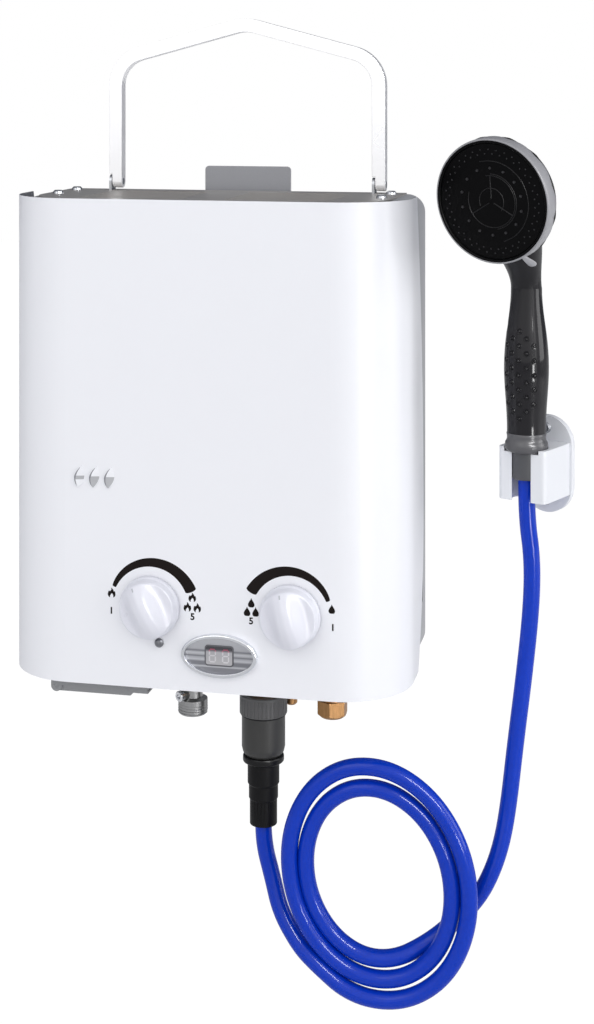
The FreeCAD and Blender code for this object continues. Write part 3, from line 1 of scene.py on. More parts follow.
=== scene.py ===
# %% [markdown]
# # A portable propane water heater, with its hose and hand shower
#
# The heater is a sheet-metal box that hangs on a wall or from its carrying handle. Gas burns
# under a finned heat exchanger, the water runs through it and leaves by a quick connector and
# a blue hose to the hand shower. The shapes that a draughtsman would dimension come in as a
# fixed frame from the CAD model. This script gives each of them its finish and builds what
# CAD leaves plain: the hose, the moulded knobs, threads, nozzles, grip bumps, prints and digits.

# %% Load the frame
import json
import math

import bmesh
import bpy
from mathutils import Matrix, Quaternion, Vector
from mathutils.bvhtree import BVHTree


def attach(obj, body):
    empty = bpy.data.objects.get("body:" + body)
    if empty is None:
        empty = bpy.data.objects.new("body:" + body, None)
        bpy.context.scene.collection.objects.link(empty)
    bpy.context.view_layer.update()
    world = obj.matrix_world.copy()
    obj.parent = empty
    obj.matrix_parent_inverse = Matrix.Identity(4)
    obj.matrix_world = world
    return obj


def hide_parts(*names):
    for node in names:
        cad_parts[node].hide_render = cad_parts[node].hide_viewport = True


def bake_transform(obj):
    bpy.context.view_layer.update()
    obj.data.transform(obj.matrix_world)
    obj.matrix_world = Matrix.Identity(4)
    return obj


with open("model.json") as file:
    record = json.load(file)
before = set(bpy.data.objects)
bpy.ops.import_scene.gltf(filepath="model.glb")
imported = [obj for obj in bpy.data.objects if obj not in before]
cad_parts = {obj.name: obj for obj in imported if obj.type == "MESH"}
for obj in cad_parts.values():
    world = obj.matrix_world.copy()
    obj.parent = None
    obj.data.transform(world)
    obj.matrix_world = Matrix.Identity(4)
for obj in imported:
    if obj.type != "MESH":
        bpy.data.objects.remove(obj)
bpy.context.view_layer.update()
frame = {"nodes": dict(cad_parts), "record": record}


# %% Small helpers
def placed(name, data):
    """A new object with this data, linked to the scene."""
    made = bpy.data.objects.new(name, data)
    bpy.context.scene.collection.objects.link(made)
    return made


def polar(radius, angle):
    """X and Y of a point at this radius and angle."""
    return radius * math.cos(angle), radius * math.sin(angle)


def circle(count):
    """So many even angles round a circle."""
    return [2 * math.pi * k / count for k in range(count)]


def smooth(mesh, on=True):
    """Shades every face of a mesh as smooth, or as flat."""
    for polygon in mesh.polygons:
        polygon.use_smooth = on


def tube_faces(rings, count, first=0, closed=False):
    """Quads between neighbouring rings of points; a closed tube joins its last ring to its first."""
    faces = []
    for ring in range(rings if closed else rings - 1):
        low, high = first + ring * count, first + (ring + 1) % rings * count
        faces += [(low + k, low + (k + 1) % count, high + (k + 1) % count, high + k) for k in range(count)]
    return faces


def rod_faces(rings, count):
    """A tube's quads and a face over each of its ends."""
    last = rings * count
    return tube_faces(rings, count) + [tuple(range(count)), tuple(range(last - count, last))]


# %% [markdown]
# ## Camera
#
# The heater is seen level, from a little to the right and well above its middle, so its sides
# stay upright and the picture plane is shifted down instead of tilting the camera. A long lens
# from 1.3 metres keeps the perspective mild.

# %% Camera
CAMERA_TURN = 12.3                 # degrees to the left of straight ahead
camera_data = bpy.data.cameras.new("camera")
camera_data.sensor_fit = "VERTICAL"
camera_data.sensor_height = 36.0
camera_data.lens = 63.6
camera_data.shift_y = -0.4297
camera_data.clip_start, camera_data.clip_end = 0.05, 50.0
camera = placed("camera", camera_data)
camera.location = (0.3290, -1.3352, 0.1110)
camera.rotation_euler = (math.radians(90), 0, math.radians(CAMERA_TURN))
bpy.context.scene.camera = camera
bpy.context.scene.view_settings.view_transform = "Standard"
print("camera turned", CAMERA_TURN, "degrees left")

# %% [markdown]
# ## Hose
#
# The real hose is a 12 mm flexible tube, 1.34 m long. It drops from the connector's boot, lies
# in two loose turns that hang by their own weight, and rises behind them to the hand shower.
# It is one NURBS spline with a round section: the straight runs have few control points, and
# the turns come from a loop that shrinks them as it goes round.

# %% Hose route
HOSE_DIAMETER = 0.012
lead = [(28.5, -70, -428.5), (28.5, -70, -442.5), (35.7, -72, -466), (42.3, -76.5, -487.4),
        (56.2, -82, -506.1), (67.8, -86, -515.4)]
riser = [(148.2, -73.5, -501.0), (167.0, -71.0, -485.0), (183.0, -68.5, -468.0),
         (192.5, -65.5, -450.0), (199.0, -61.0, -430.0), (203.2, -56.0, -404.0),
         (207.2, -52.0, -365.3), (213.0, -48.0, -318.0), (218.0, -46.3, -270.0),
         (218.8, -45.3, -235.0), (214.5, -45.0, -204.0), (214.5, -45.0, -178.0)]
COIL_MIDDLE = (112.4, -89.0, -451.9)
COIL_HALF_WIDTH, COIL_HALF_HEIGHT = 70.9, 88.1      # of the outer turn's control points
LEAN_COS, LEAN_SIN = polar(1, math.radians(12.1))   # the turns lean so far
TURN_START, TURN_END = -22, 736    # degrees round the coil from its lowest point
TURN_STEP = 30                     # degrees between control points
TURN_LAG = 5.2                     # degrees by which the points trail
TURN_SHRINK = 0.0855               # each half turn is this much smaller
TURN_DRIFT = (-0.23, 1.3, -0.65)   # each half turn's middle moves this far
turns = []
for degrees in range(TURN_START, TURN_END, TURN_STEP):
    half_turns = degrees / 180
    size = 1 - TURN_SHRINK * half_turns
    angle = math.radians(degrees - TURN_LAG)
    across, up = size * COIL_HALF_WIDTH * math.sin(angle), -size * COIL_HALF_HEIGHT * math.cos(angle)
    x, y, z = (start + drift * half_turns for start, drift in zip(COIL_MIDDLE, TURN_DRIFT))
    turns.append((x + across * LEAN_COS - up * LEAN_SIN, y, z + across * LEAN_SIN + up * LEAN_COS))
route = [Vector(point) / 1000 for point in lead + turns + riser]
print("hose control points", len(route))


# %% Hose line and tube
def spline_object(name, points, radius):
    """One open NURBS spline through the air, with a round section of this radius."""
    curve = bpy.data.curves.new(name, "CURVE")
    curve.dimensions = "3D"
    curve.resolution_u = 10
    curve.bevel_depth = radius
    curve.bevel_resolution = 7
    curve.use_fill_caps = radius > 0
    spline = curve.splines.new("NURBS")
    spline.points.add(len(points) - 1)
    for place, point in zip(spline.points, points):
        place.co = (*point, 1)
    spline.order_u = 3
    spline.use_endpoint_u = True
    return placed(name, curve)


def as_mesh(source, name):
    """The evaluated source as a plain mesh object; the source is removed."""
    bpy.context.view_layer.update()
    graph = bpy.context.evaluated_depsgraph_get()
    mesh = bpy.data.meshes.new_from_object(source.evaluated_get(graph))
    bpy.data.objects.remove(source)
    mesh.name = name
    return placed(name, mesh)


line = as_mesh(spline_object("hose_line", route, 0), "hose_line")
bpy.data.objects.remove(line)
hose = as_mesh(spline_object("hose", route, HOSE_DIAMETER / 2), "hose")
smooth(hose.data)
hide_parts("hose_lead", "hose_coil", "hose_riser")
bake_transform(hose)

# %% [markdown]
# ## Light and floor
#
# White painted steel shows its shape only by soft gradients, so the light is broad and comes
# mostly from the viewer's side: a bright room in front, dim at the sides and behind, two large
# lamps, and two tall strip lamps for the narrow bands on the cover's rounded corners. Two soft
# boxes that are seen only in reflections draw the streaks along the shiny hose. What the camera
# sees behind the object is plain white. The glossy metals reflect the dim sides of the room,
# because chrome in an all-white room looks like paint.

# %% Node helper
def put(tree, kind, settings=None, inputs=None):
    """Adds one node, with its settings, and its inputs as values or as links."""
    made = tree.nodes.new(kind)
    for name, value in (settings or {}).items():
        setattr(made, name, value)
    for socket, value in (inputs or {}).items():
        if isinstance(value, bpy.types.NodeSocket):
            tree.links.new(value, made.inputs[socket])
        else:
            made.inputs[socket].default_value = value
    return made


def maths(tree, operation, *values):
    """The result of one Math node over these values or links."""
    return put(tree, "ShaderNodeMath", {"operation": operation}, dict(enumerate(values))).outputs[0]


def linear(code):
    """An sRGB hex value such as ECEDF2 as linear colour."""
    parts = [int(code[k:k + 2], 16) / 255 for k in (0, 2, 4)]
    return (*[p / 12.92 if p <= 0.04045 else ((p + 0.055) / 1.055) ** 2.4 for p in parts], 1)


def ramp(tree, factor, stops):
    """A colour ramp through (position, hex) stops, read at this factor."""
    made = put(tree, "ShaderNodeValToRGB", inputs={0: factor})
    elements = made.color_ramp.elements
    while len(elements) < len(stops):
        elements.new(0.5)
    for element, (position, code) in zip(elements, stops):
        element.position, element.color = position, linear(code)
    return made.outputs["Color"]


# %% World
BRIGHT_SIDE = Vector((0.24, -0.94, 0.22)).normalized()
ROOM_STRENGTH = 1.19
world = bpy.data.worlds.new("studio")
bpy.context.scene.world = world
world.use_nodes = True
room = world.node_tree
room.nodes.clear()
direction = put(room, "ShaderNodeTexCoord").outputs["Generated"]
facing = put(room, "ShaderNodeVectorMath", {"operation": "DOT_PRODUCT"},
             {0: direction, 1: tuple(BRIGHT_SIDE)}).outputs["Value"]
shade = ramp(room, maths(room, "MULTIPLY_ADD", facing, 0.5, 0.5),
             [(0.30, "5A5D64"), (0.56, "9A9CA1"), (0.78, "F4F4F6"), (0.9, "FFFFFF")])
lit = put(room, "ShaderNodeBackground", inputs={"Color": shade, "Strength": ROOM_STRENGTH})
seen = put(room, "ShaderNodeBackground", inputs={"Color": (1, 1, 1, 1), "Strength": 1.0})
ray = put(room, "ShaderNodeLightPath")
pick = put(room, "ShaderNodeMixShader", inputs={
    0: ray.outputs["Is Camera Ray"], 1: lit.outputs[0], 2: seen.outputs[0]})
put(room, "ShaderNodeOutputWorld", inputs={"Surface": pick.outputs[0]})


# %% Lamps
def lamp(name, place, aim, size, power, lean=0.0):
    """A soft rectangular lamp, (wide, high), at a place, turned to face its aim and leant."""
    data = bpy.data.lights.new(name, "AREA")
    data.shape = "RECTANGLE"
    data.size, data.size_y = size
    data.energy = power
    made = placed(name, data)
    made.location = place
    turn = (Vector(aim) - Vector(place)).to_track_quat("-Z", "Y")
    made.rotation_euler = (turn @ Quaternion((0, 0, 1), math.radians(lean))).to_euler()
    return made


LAMP_AIM = (0.0, 0.0, -0.2)        # the middle of the body
lamp("key_lamp", (-0.9, -2.1, 1.2), LAMP_AIM, (1.4, 1.4), 7)
lamp("side_lamp", (2.6, 0.1, 0.35), LAMP_AIM, (1.3, 1.4), 24)
lamp("right_strip", (1.95, -1.30, -0.15), (0.1, -0.1, -0.15), (0.30, 1.7), 2.0)
lamp("left_strip", (-2.2, -0.42, -0.15), (-0.1, -0.1, -0.15), (0.16, 1.7), 0.6)
# above right for the loops of the hose, and below right for its rising part
for streaks in (lamp("streak_lamp", (1.45, -1.75, 0.75), (0.12, -0.08, -0.45), (1.25, 0.5), 52, lean=-45),
                lamp("riser_lamp", (1.55, -1.55, -0.85), (0.22, -0.06, -0.30), (0.35, 1.1), 32)):
    streaks.visible_diffuse = False
print("lamps", 6)

# %% Floor
FLOOR_HEIGHT, FLOOR_REACH = -0.62, 6.0
GLOW_SHARE, GLOW_STRENGTH = 0.93, 1.06     # what the camera sees is nearly all plain white
floor_mesh = bpy.data.meshes.new("floor")
floor_mesh.from_pydata([(x * FLOOR_REACH, y * FLOOR_REACH, FLOOR_HEIGHT)
                        for x, y in ((-1, -1), (1, -1), (1, 1), (-1, 1))], [], [(0, 1, 2, 3)])
floor = placed("floor", floor_mesh)
floor_paint = bpy.data.materials.new("floor_paint")
floor_paint.use_nodes = True
tree = floor_paint.node_tree
tree.nodes.clear()
matt = put(tree, "ShaderNodeBsdfDiffuse", inputs={"Color": linear("F4F4F4")})
glow = put(tree, "ShaderNodeEmission", inputs={"Color": (1, 1, 1, 1), "Strength": GLOW_STRENGTH})
eye = put(tree, "ShaderNodeLightPath")
share = maths(tree, "MULTIPLY", eye.outputs["Is Camera Ray"], GLOW_SHARE)
both = put(tree, "ShaderNodeMixShader", inputs={0: share, 1: matt.outputs[0], 2: glow.outputs[0]})
put(tree, "ShaderNodeOutputMaterial", inputs={"Surface": both.outputs[0]})
floor_mesh.materials.append(floor_paint)
print("floor at", FLOOR_HEIGHT)

# %% [markdown]
# ## Finishes
#
# Every finish starts from one recipe: a physically based shader, plus a fine grain that bumps
# the surface, plus a slow mottling that varies the gloss and a little of the tone, as handling
# does. The grain size is the real one: 1.2 mm orange peel on powder coat, 0.3 mm spark texture
# on moulded plastic, 0.5 mm sand on castings. Object coordinates are metres, so a pattern of
# size s millimetres has the scale 1000 / s.

# %% Recipe
MOTTLE_SCALE = 22.0                # patches of about 45 mm


def finish(name, colour, rough, metal=0.0, grain=0.3, depth=0.01, mottle=0.05, stretch=(1, 1, 1),
           tone=0.04, spec=0.5, coat=(0.0, 0.03), **sockets):
    """A material of this sRGB colour, with a grain of so many millimetres and a bump of so many.

    spec is the strength of the plain reflection, and coat is a clear coat's weight and roughness.
    """
    material = bpy.data.materials.new(name)
    material.use_nodes = True
    tree = material.node_tree
    tree.nodes.clear()
    place = put(tree, "ShaderNodeTexCoord").outputs["Object"]
    spread = put(tree, "ShaderNodeMapping", inputs={"Vector": place, "Scale": stretch}).outputs[0]
    fine = put(tree, "ShaderNodeTexNoise", inputs={"Vector": spread, "Scale": 1000 / grain, "Detail": 2.0})
    broad = put(tree, "ShaderNodeTexNoise", inputs={"Vector": place, "Scale": MOTTLE_SCALE, "Detail": 3.0})
    gloss = put(tree, "ShaderNodeMapRange", inputs={
        "Value": broad.outputs[0], "From Min": 0.3, "From Max": 0.7,
        "To Min": max(rough - mottle, 0.02), "To Max": rough + mottle})
    base = linear(colour)
    tinted = put(tree, "ShaderNodeMix", {"data_type": "RGBA"}, {
        0: fine.outputs[0], 6: (*[c * (1 - tone) for c in base[:3]], 1),
        7: (*[min(c * (1 + tone), 1) for c in base[:3]], 1)})
    tinted.name = "tone"
    relief = put(tree, "ShaderNodeBump", inputs={
        "Height": fine.outputs[0], "Strength": 1.0, "Distance": depth / 1000})
    shader = put(tree, "ShaderNodeBsdfPrincipled", inputs={
        "Base Color": tinted.outputs[2], "Metallic": metal, "Roughness": gloss.outputs[0],
        "Normal": relief.outputs[0], "Specular IOR Level": spec,
        "Coat Weight": coat[0], "Coat Roughness": coat[1], **sockets})
    shader.name = "shader"
    put(tree, "ShaderNodeOutputMaterial", inputs={"Surface": shader.outputs[0]})
    return material


def object_axes(tree):
    """The X, Y and Z outputs of the object coordinates, in metres."""
    return put(tree, "ShaderNodeSeparateXYZ", inputs={
        0: put(tree, "ShaderNodeTexCoord").outputs["Object"]}).outputs


FINISHES = {}

# %% [markdown]
# ### Painted steel
#
# The cover, the rear pan and the bracket are folded steel sheet with powder coat: a plastic film
# baked on in an oven, with a faint orange peel and a soft gloss. The handle has a silver
# lacquer, which is metal flakes in clear paint, so it is only partly metallic. The inside of a
# cover gets a dark grey that is partly a thin primer and partly painted shade for the hollow
# behind the sheet. A distance to the cover's rounded outline says which side of the sheet a
# point is on, because the CAD sheet carries one material for both.

# %% Painted steel
FINISHES.update({
    # white with a hint of blue, glossy film over it: soft lamp bands on the corners
    "cover_white": finish("powder_coated_white", "ECEDF2", 0.36, grain=1.2, tone=0.006, spec=0.4,
                          coat=(0.2, 0.12)),
    # mid grey, duller than the cover
    "shell_grey": finish("powder_coated_grey", "A0A1A5", 0.40, grain=1.0, depth=0.015),
    "bracket_grey": finish("painted_bracket_grey", "94959A", 0.42, 0.15, grain=0.9, depth=0.02),
    # nearly white silver, with a bright front and darker sides
    "handle_silver": finish("silver_lacquer_on_steel", "FCFCFE", 0.30, 0.60, grain=2.0, depth=0.002,
                            tone=0.01)})
BODY_X = -0.007                    # middle of the body, beside the wall hole


def primer_and_shade_inside(material, colour, inner_half, inner_front, radius):
    """Paints another colour where a point lies on the inner side of the cover's rounded outline."""
    tree = material.node_tree
    place = object_axes(tree)
    side = maths(tree, "ABSOLUTE", maths(tree, "SUBTRACT", place["X"], BODY_X))
    beyond = [maths(tree, "MAXIMUM", one, 0.0) for one in (
        maths(tree, "SUBTRACT", side, inner_half - radius),
        maths(tree, "MULTIPLY_ADD", place["Y"], -1.0, inner_front + radius))]
    corner = put(tree, "ShaderNodeCombineXYZ", inputs=dict(enumerate(beyond)))
    distance = put(tree, "ShaderNodeVectorMath", {"operation": "LENGTH"}, {0: corner.outputs[0]})
    mixed = put(tree, "ShaderNodeMix", {"data_type": "RGBA"}, {
        0: maths(tree, "LESS_THAN", distance.outputs["Value"], radius),
        6: tree.nodes["tone"].outputs[2], 7: linear(colour)})
    tree.links.new(mixed.outputs[2], tree.nodes["shader"].inputs["Base Color"])


# the inside of the cover in dark grey: primer, and painted shade of its hollow
primer_and_shade_inside(FINISHES["cover_white"], "62646A", inner_half=0.1446, inner_front=-0.1246, radius=0.0496)
print("painted", list(FINISHES))

# %% [markdown]
# ### Bare and plated metal
#
# A metal's colour is in its reflection, so metallic is near 1, the base colour is the reflection
# and the roughness says how it was worked: chrome plating is a mirror, turned brass is brushed,
# and a die casting is a dull sand texture. Brushing is noise stretched along the stroke. The
# top plate is dull enough to take a low metallic value.

# %% Bare and plated metal
FINISHES.update({
    # brushed across, so highlights run across the plate
    "dark_steel": finish("brushed_stainless", "A8A5A2", 0.36, 0.35, grain=0.5, depth=0.006,
                         stretch=(0.02, 1, 1)),
    "screw_steel": finish("zinc_plated_steel", "B4B6BA", 0.28, 1.0, depth=0.004),
    # dark grey oxide with an oily shine
    "dark_screw": finish("black_oxide_steel", "7A7B80", 0.30, 0.8, depth=0.004),
    "bright_chrome": finish("chrome_plated_plastic", "DCDEE2", 0.06, 1.0, grain=2.0, depth=0.002,
                            mottle=0.02),
    "galvanised": finish("galvanised_steel", "A8AAAC", 0.4, 1.0, grain=6.0, depth=0.004, tone=0.12),
    # grey, worn plating on a rough turned fitting
    "nickel": finish("nickel_plated_brass", "A2A2A2", 0.36, 1.0, grain=0.5, depth=0.02, tone=0.16),
    "cast_alloy": finish("die_cast_zinc", "8F9194", 0.45, 1.0, grain=0.5, depth=0.02),
    # brown turned brass, streaked up and down
    "brass": finish("turned_brass", "AE8459", 0.34, 1.0, grain=0.9, depth=0.03,
                    stretch=(1, 1, 0.12), tone=0.3),
    "copper": finish("tinned_copper", "B87352", 0.35, 1.0, grain=0.4, depth=0.004)})
# bright plating on a small screw, a white highlight round a dark socket
bright_screw = finish("bright_zinc_plating", "E6E7EA", 0.20, 0.9, depth=0.003)
print("and metals", len(FINISHES), "finishes")

# %% [markdown]
# ### Plastic, rubber and ceramic
#
# Moulded plastic copies its steel mould, so it carries the mould's fine spark texture and never
# a brush stroke. ABS has a roughness near 0.3; rubber is rougher. The hose is flexible PVC with
# a wet-looking skin over a strong blue.

# %% Plastic, rubber and ceramic
FINISHES.update({
    "knob_white": finish("moulded_abs_white", "DEDFE8", 0.30, grain=0.35, depth=0.006, tone=0.01),
    "holder_white": finish("moulded_abs_holder_white", "E2E4E9", 0.32, grain=0.35, depth=0.008,
                           tone=0.01),
    "black_plastic": finish("moulded_abs_black", "0D0D0F", 0.30, spec=0.25),
    "battery_grey": finish("moulded_abs_grey", "96979A", 0.42, depth=0.012),
    # dark grey nylon with a greenish tinge
    "connector_grey": finish("moulded_nylon_grey", "2F2F2E", 0.38, depth=0.012),
    # charcoal with a clear gloss: bright thin highlights on a dark grip
    "charcoal": finish("moulded_abs_charcoal", "17161A", 0.30, grain=0.5, depth=0.006, spec=0.08,
                       coat=(0.45, 0.05)),
    "ring_grey": finish("moulded_abs_ring_grey", "97979B", 0.34),
    # soft rubbery black that swallows the light
    "face_black": finish("moulded_tpe_black", "030304", 0.34, grain=0.25, depth=0.006, spec=0.08),
    "rubber_black": finish("moulded_rubber_black", "0C0C0E", 0.42, grain=0.25, depth=0.012, spec=0.16),
    "ceramic": finish("alumina_ceramic", "E9E6DE", 0.35, depth=0.003),
    "cell_label": finish("cell_shrink_sleeve", "2A2B30", 0.3, grain=1.0, depth=0.003),
    "window_clear": finish("clear_acrylic", "F2F4F8", 0.04, grain=3.0, depth=0.001, mottle=0.01,
                           **{"Transmission Weight": 0.92, "IOR": 1.49}),
    # saturated blue under a glossy skin
    "hose_blue": finish("blue_pvc_hose", "0536B6", 0.24, grain=2.5, depth=0.0015, tone=0.10,
                        spec=0.10, coat=(0.3, 0.08))})
# the connector's sleeve, a lighter grey nylon than its body
sleeve_grey = finish("moulded_nylon_sleeve_grey", "565657", 0.38, depth=0.012)
collar_grey = finish("moulded_abs_collar_grey", "545457", 0.30)
tail_grey = finish("moulded_abs_tail_grey", "4A4B4F", 0.36)
print("and plastics", len(FINISHES), "finishes")

# %% [markdown]
# ## Dressing the CAD pieces
#
# Each CAD piece names a material slot, so one table from slot to finish dresses them all. The
# plate of the badge has its own finish: broad grooves run across it, and a colour ramp over the
# height paints a highlight on their ridges and shade in their floors.

# %% Badge plate
BADGE = (10.5, -292.0)             # middle of the badge, X and Z in millimetres
# painted highlight on the grooves' ridges and painted shade in their floors, as (height, hex)
GROOVE_HIGHLIGHT_AND_SHADE = [(-15.0, "86868C"), (-8.6, "8E8F95"), (-7.7, "CACBD0"), (-6.6, "85868C"), (-4.6, "84858B"),
           (-3.2, "C6C7CC"), (-1.6, "ADAEB4"), (-0.7, "7E7F85"), (0.2, "B2B3B8"), (1.4, "C6C7CC"),
           (3.0, "7C7D83"), (4.2, "B2B3B8"), (15.0, "C4C5C9")]


def banded(material, half_height, stops):
    """Colours a finish by the height over the badge's middle, through (height, hex) stops."""
    tree = material.node_tree
    share = put(tree, "ShaderNodeMapRange", inputs={
        "Value": object_axes(tree)["Z"], "From Min": (BADGE[1] - half_height) / 1000,
        "From Max": (BADGE[1] + half_height) / 1000})
    bands = ramp(tree, share.outputs["Result"],
                 [((height + half_height) / (2 * half_height), code) for height, code in stops])
    tree.links.new(bands, tree.nodes["shader"].inputs["Base Color"])
    return material


FINISHES["brushed_plate"] = banded(
    finish("brushed_aluminium_plate", "C4C6CA", 0.34, 0.85, grain=0.25, depth=0.006,
           stretch=(0.03, 1, 1)), 15, GROOVE_HIGHLIGHT_AND_SHADE)
print("grooves", len(GROOVE_HIGHLIGHT_AND_SHADE))

# %% Slots to finishes
slot_of, body_of = {}, {}
for part in frame["record"]["subparts"]:
    slot_of[part["node"]] = part["material_slot"]
    skin = frame["nodes"][part["node"]].data
    skin.materials.clear()
    skin.materials.append(FINISHES[part["material_slot"]])
for node, own in (("connector_sleeve", sleeve_grey), ("gas_test_screw", bright_screw)):
    frame["nodes"][node].data.materials[0] = own
for body, nodes in frame["record"]["behaviour"]["bodies"].items():
    for node in nodes:
        body_of[node] = body
hose.data.materials.append(FINISHES["hose_blue"])
print("dressed", len(slot_of), "pieces")

# %% [markdown]
# ## Softened edges
#
# No moulded or folded piece has a knife edge: light runs along a small rounding. The CAD
# pieces here that are all crisp edges are copied, their triangles merged back to whole faces,
# and a bevel that only takes edges sharper than 35 degrees rounds them.

# %% Mesh helpers
def mesh_from(name, points, faces):
    """A mesh from points in millimetres."""
    mesh = bpy.data.meshes.new(name)
    mesh.from_pydata([Vector(point) / 1000 for point in points], [], faces)
    return mesh


def piece_from(name, points, faces, body, material, slot=None, soft=True, closed=True):
    """A piece from points in millimetres, riding on a body, with one finish."""
    mesh = mesh_from(name, points, faces)
    work = bmesh.new()
    work.from_mesh(mesh)
    bmesh.ops.remove_doubles(work, verts=work.verts, dist=1e-6)
    if closed:
        bmesh.ops.recalc_face_normals(work, faces=work.faces)
    work.to_mesh(mesh)
    work.free()
    smooth(mesh, soft)
    mesh.materials.append(material)
    made = placed(name, mesh)
    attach(made, body)
    return made


def face_viewer(made):
    """Turns a flat or nearly flat piece's faces towards the viewer."""
    if made.data.polygons[0].normal.y > 0:
        made.data.flip_normals()
    return made


def creased(made):
    """Smooth faces, but sharp where they meet at more than 32 degrees."""
    smooth(made.data)
    made.data.set_sharp_from_angle(angle=math.radians(32))
    return made


def softened(node, width):
    """A copy of a CAD node with its sharp edges rounded by so many millimetres; it replaces the node."""
    mesh = frame["nodes"][node].data.copy()
    work = bmesh.new()
    work.from_mesh(mesh)
    bmesh.ops.remove_doubles(work, verts=work.verts, dist=2e-6)
    bmesh.ops.dissolve_limit(work, angle_limit=math.radians(1.0), verts=work.verts, edges=work.edges)
    work.to_mesh(mesh)
    work.free()
    source = placed(node + "_crisp", mesh)
    bevel = source.modifiers.new("rounding", "BEVEL")
    bevel.width, bevel.segments = width / 1000, 2
    bevel.limit_method, bevel.angle_limit = "ANGLE", math.radians(35)
    flats = source.modifiers.new("flats", "WEIGHTED_NORMAL")       # shades only the rounding as round
    flats.mode, flats.weight = "FACE_AREA", 90
    smooth(mesh)
    made = creased(as_mesh(source, node + "_soft"))
    made.data.materials.clear()
    made.data.materials.append(FINISHES[slot_of[node]])
    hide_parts(node)
    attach(made, body_of[node])
    return made


# %% Rounded copies
ROUNDINGS = {"carry_handle": 0.5, "holder_cradle": 1.3, "holder_plate": 1.0, "battery_box": 0.9,
             "battery_door": 0.7, "hose_nut": 0.9, "hose_boot": 0.5, "connector_body": 0.4,
             "hanging_bracket": 0.4, "water_inlet": 0.5, "badge_bezel": 0.5}
for node, width in ROUNDINGS.items():
    print("rounded", node, len(softened(node, width).data.polygons))

# %% [markdown]
# ## Turned and repeated shapes
#
# A lathe shape is a profile turned about an axis. What repeats is made by Geometry Nodes: one
# tree winds a thread, and another sets a small template on many points, each turned to the
# surface it stands on. A tree's sizes are named inputs, set by their identifiers before the
# object is evaluated, and it ends by realising the instances, so the result is a plain mesh.

# %% Lathe
def lathe(profile, around):
    """Points and faces of a (radius, height) profile turned about Z; radius 0 closes an end."""
    points, faces, rings = [], [], []
    for radius, height in profile:
        if radius == 0:
            rings.append([len(points)] * around)
            points.append((0, 0, height))
            continue
        rings.append(list(range(len(points), len(points) + around)))
        points += [(*polar(radius, angle), height) for angle in circle(around)]
    for low, high in zip(rings, rings[1:]):
        for k in range(around):
            n = (k + 1) % around
            faces.append(tuple(dict.fromkeys((low[k], low[n], high[n], high[k]))))
    return points, faces


# %% Geometry Nodes helpers
def geometry_tree(name, sizes):
    """An empty tree with a geometry input and output, and these named sockets."""
    tree = bpy.data.node_groups.new(name, "GeometryNodeTree")
    tree.interface.new_socket("Geometry", in_out="INPUT", socket_type="NodeSocketGeometry")
    for size, kind in sizes.items():
        tree.interface.new_socket(size, in_out="INPUT", socket_type="NodeSocket" + kind)
    tree.interface.new_socket("Geometry", in_out="OUTPUT", socket_type="NodeSocketGeometry")
    return tree, put(tree, "NodeGroupInput").outputs


def end_tree(tree, geometry, material):
    """Real faces instead of instances, with the finish, to the tree's output."""
    real = put(tree, "GeometryNodeRealizeInstances", inputs={"Geometry": geometry})
    dressed = put(tree, "GeometryNodeSetMaterial", inputs={
        "Geometry": real.outputs[0], "Material": material})
    put(tree, "NodeGroupOutput", inputs={"Geometry": dressed.outputs[0]})


def grown(name, tree, start, sizes, body):
    """The plain mesh that a tree makes from a starting mesh and its sizes, riding on a body."""
    source = placed(name + "_start", start)
    modifier = source.modifiers.new(tree.name, "NODES")
    modifier.node_group = tree
    for item in tree.interface.items_tree:
        if item.in_out == "INPUT" and item.name in sizes:
            modifier[item.identifier] = sizes[item.name]
    made = creased(as_mesh(source, name))
    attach(made, body)
    print(name, len(made.data.polygons), "faces")


# %% Thread tree
thread_tree, sizes = geometry_tree("wound_thread", {
    "Radius": "Float", "Turns": "Float", "Length": "Float", "Ridge": "Float", "Place": "Vector",
    "Finish": "Material"})
coil = put(thread_tree, "GeometryNodeCurveSpiral", inputs={
    "Resolution": 48, "Rotations": sizes["Turns"], "Start Radius": sizes["Radius"],
    "End Radius": sizes["Radius"], "Height": sizes["Length"]})
section = put(thread_tree, "GeometryNodeCurvePrimitiveCircle", inputs={
    "Resolution": 4, "Radius": sizes["Ridge"]})
swept = put(thread_tree, "GeometryNodeCurveToMesh", inputs={
    "Curve": coil.outputs[0], "Profile Curve": section.outputs[0], "Fill Caps": True})
put_down = put(thread_tree, "GeometryNodeTransform", inputs={
    "Geometry": swept.outputs[0], "Translation": sizes["Place"]})
end_tree(thread_tree, put_down.outputs[0], sizes["Finish"])

grown("gas_thread", thread_tree, bpy.data.meshes.new("thread_start"), {
    "Radius": 0.01018, "Turns": 5.0, "Length": 0.0090, "Ridge": 0.00062,
    "Place": (-0.024, -0.070, -0.3520), "Finish": FINISHES["nickel"]}, "heater")

# %% Stud tree
stud_tree, sizes = geometry_tree("studs_on_points", {
    "Template": "Object", "Scale": "Float", "Finish": "Material"})
shape = put(stud_tree, "GeometryNodeObjectInfo", {"transform_space": "ORIGINAL"},
            {"Object": sizes["Template"]})
outward = put(stud_tree, "GeometryNodeInputNamedAttribute", {"data_type": "FLOAT_VECTOR"},
              {"Name": "outward"})
turn = put(stud_tree, "FunctionNodeAlignRotationToVector", {"axis": "Z"},
           {"Vector": outward.outputs["Attribute"]})
studs = put(stud_tree, "GeometryNodeInstanceOnPoints", inputs={
    "Points": sizes["Geometry"], "Instance": shape.outputs["Geometry"],
    "Rotation": turn.outputs[0], "Scale": sizes["Scale"]})
end_tree(stud_tree, studs.outputs[0], sizes["Finish"])


def stud_points(name, spots):
    """A mesh of (point, outward direction) spots, in metres, for the stud tree."""
    mesh = bpy.data.meshes.new(name)
    mesh.from_pydata([point for point, away in spots], [], [])
    outward = mesh.attributes.new("outward", "FLOAT_VECTOR", "POINT")
    for value, (point, away) in zip(outward.data, spots):
        value.vector = away
    return mesh


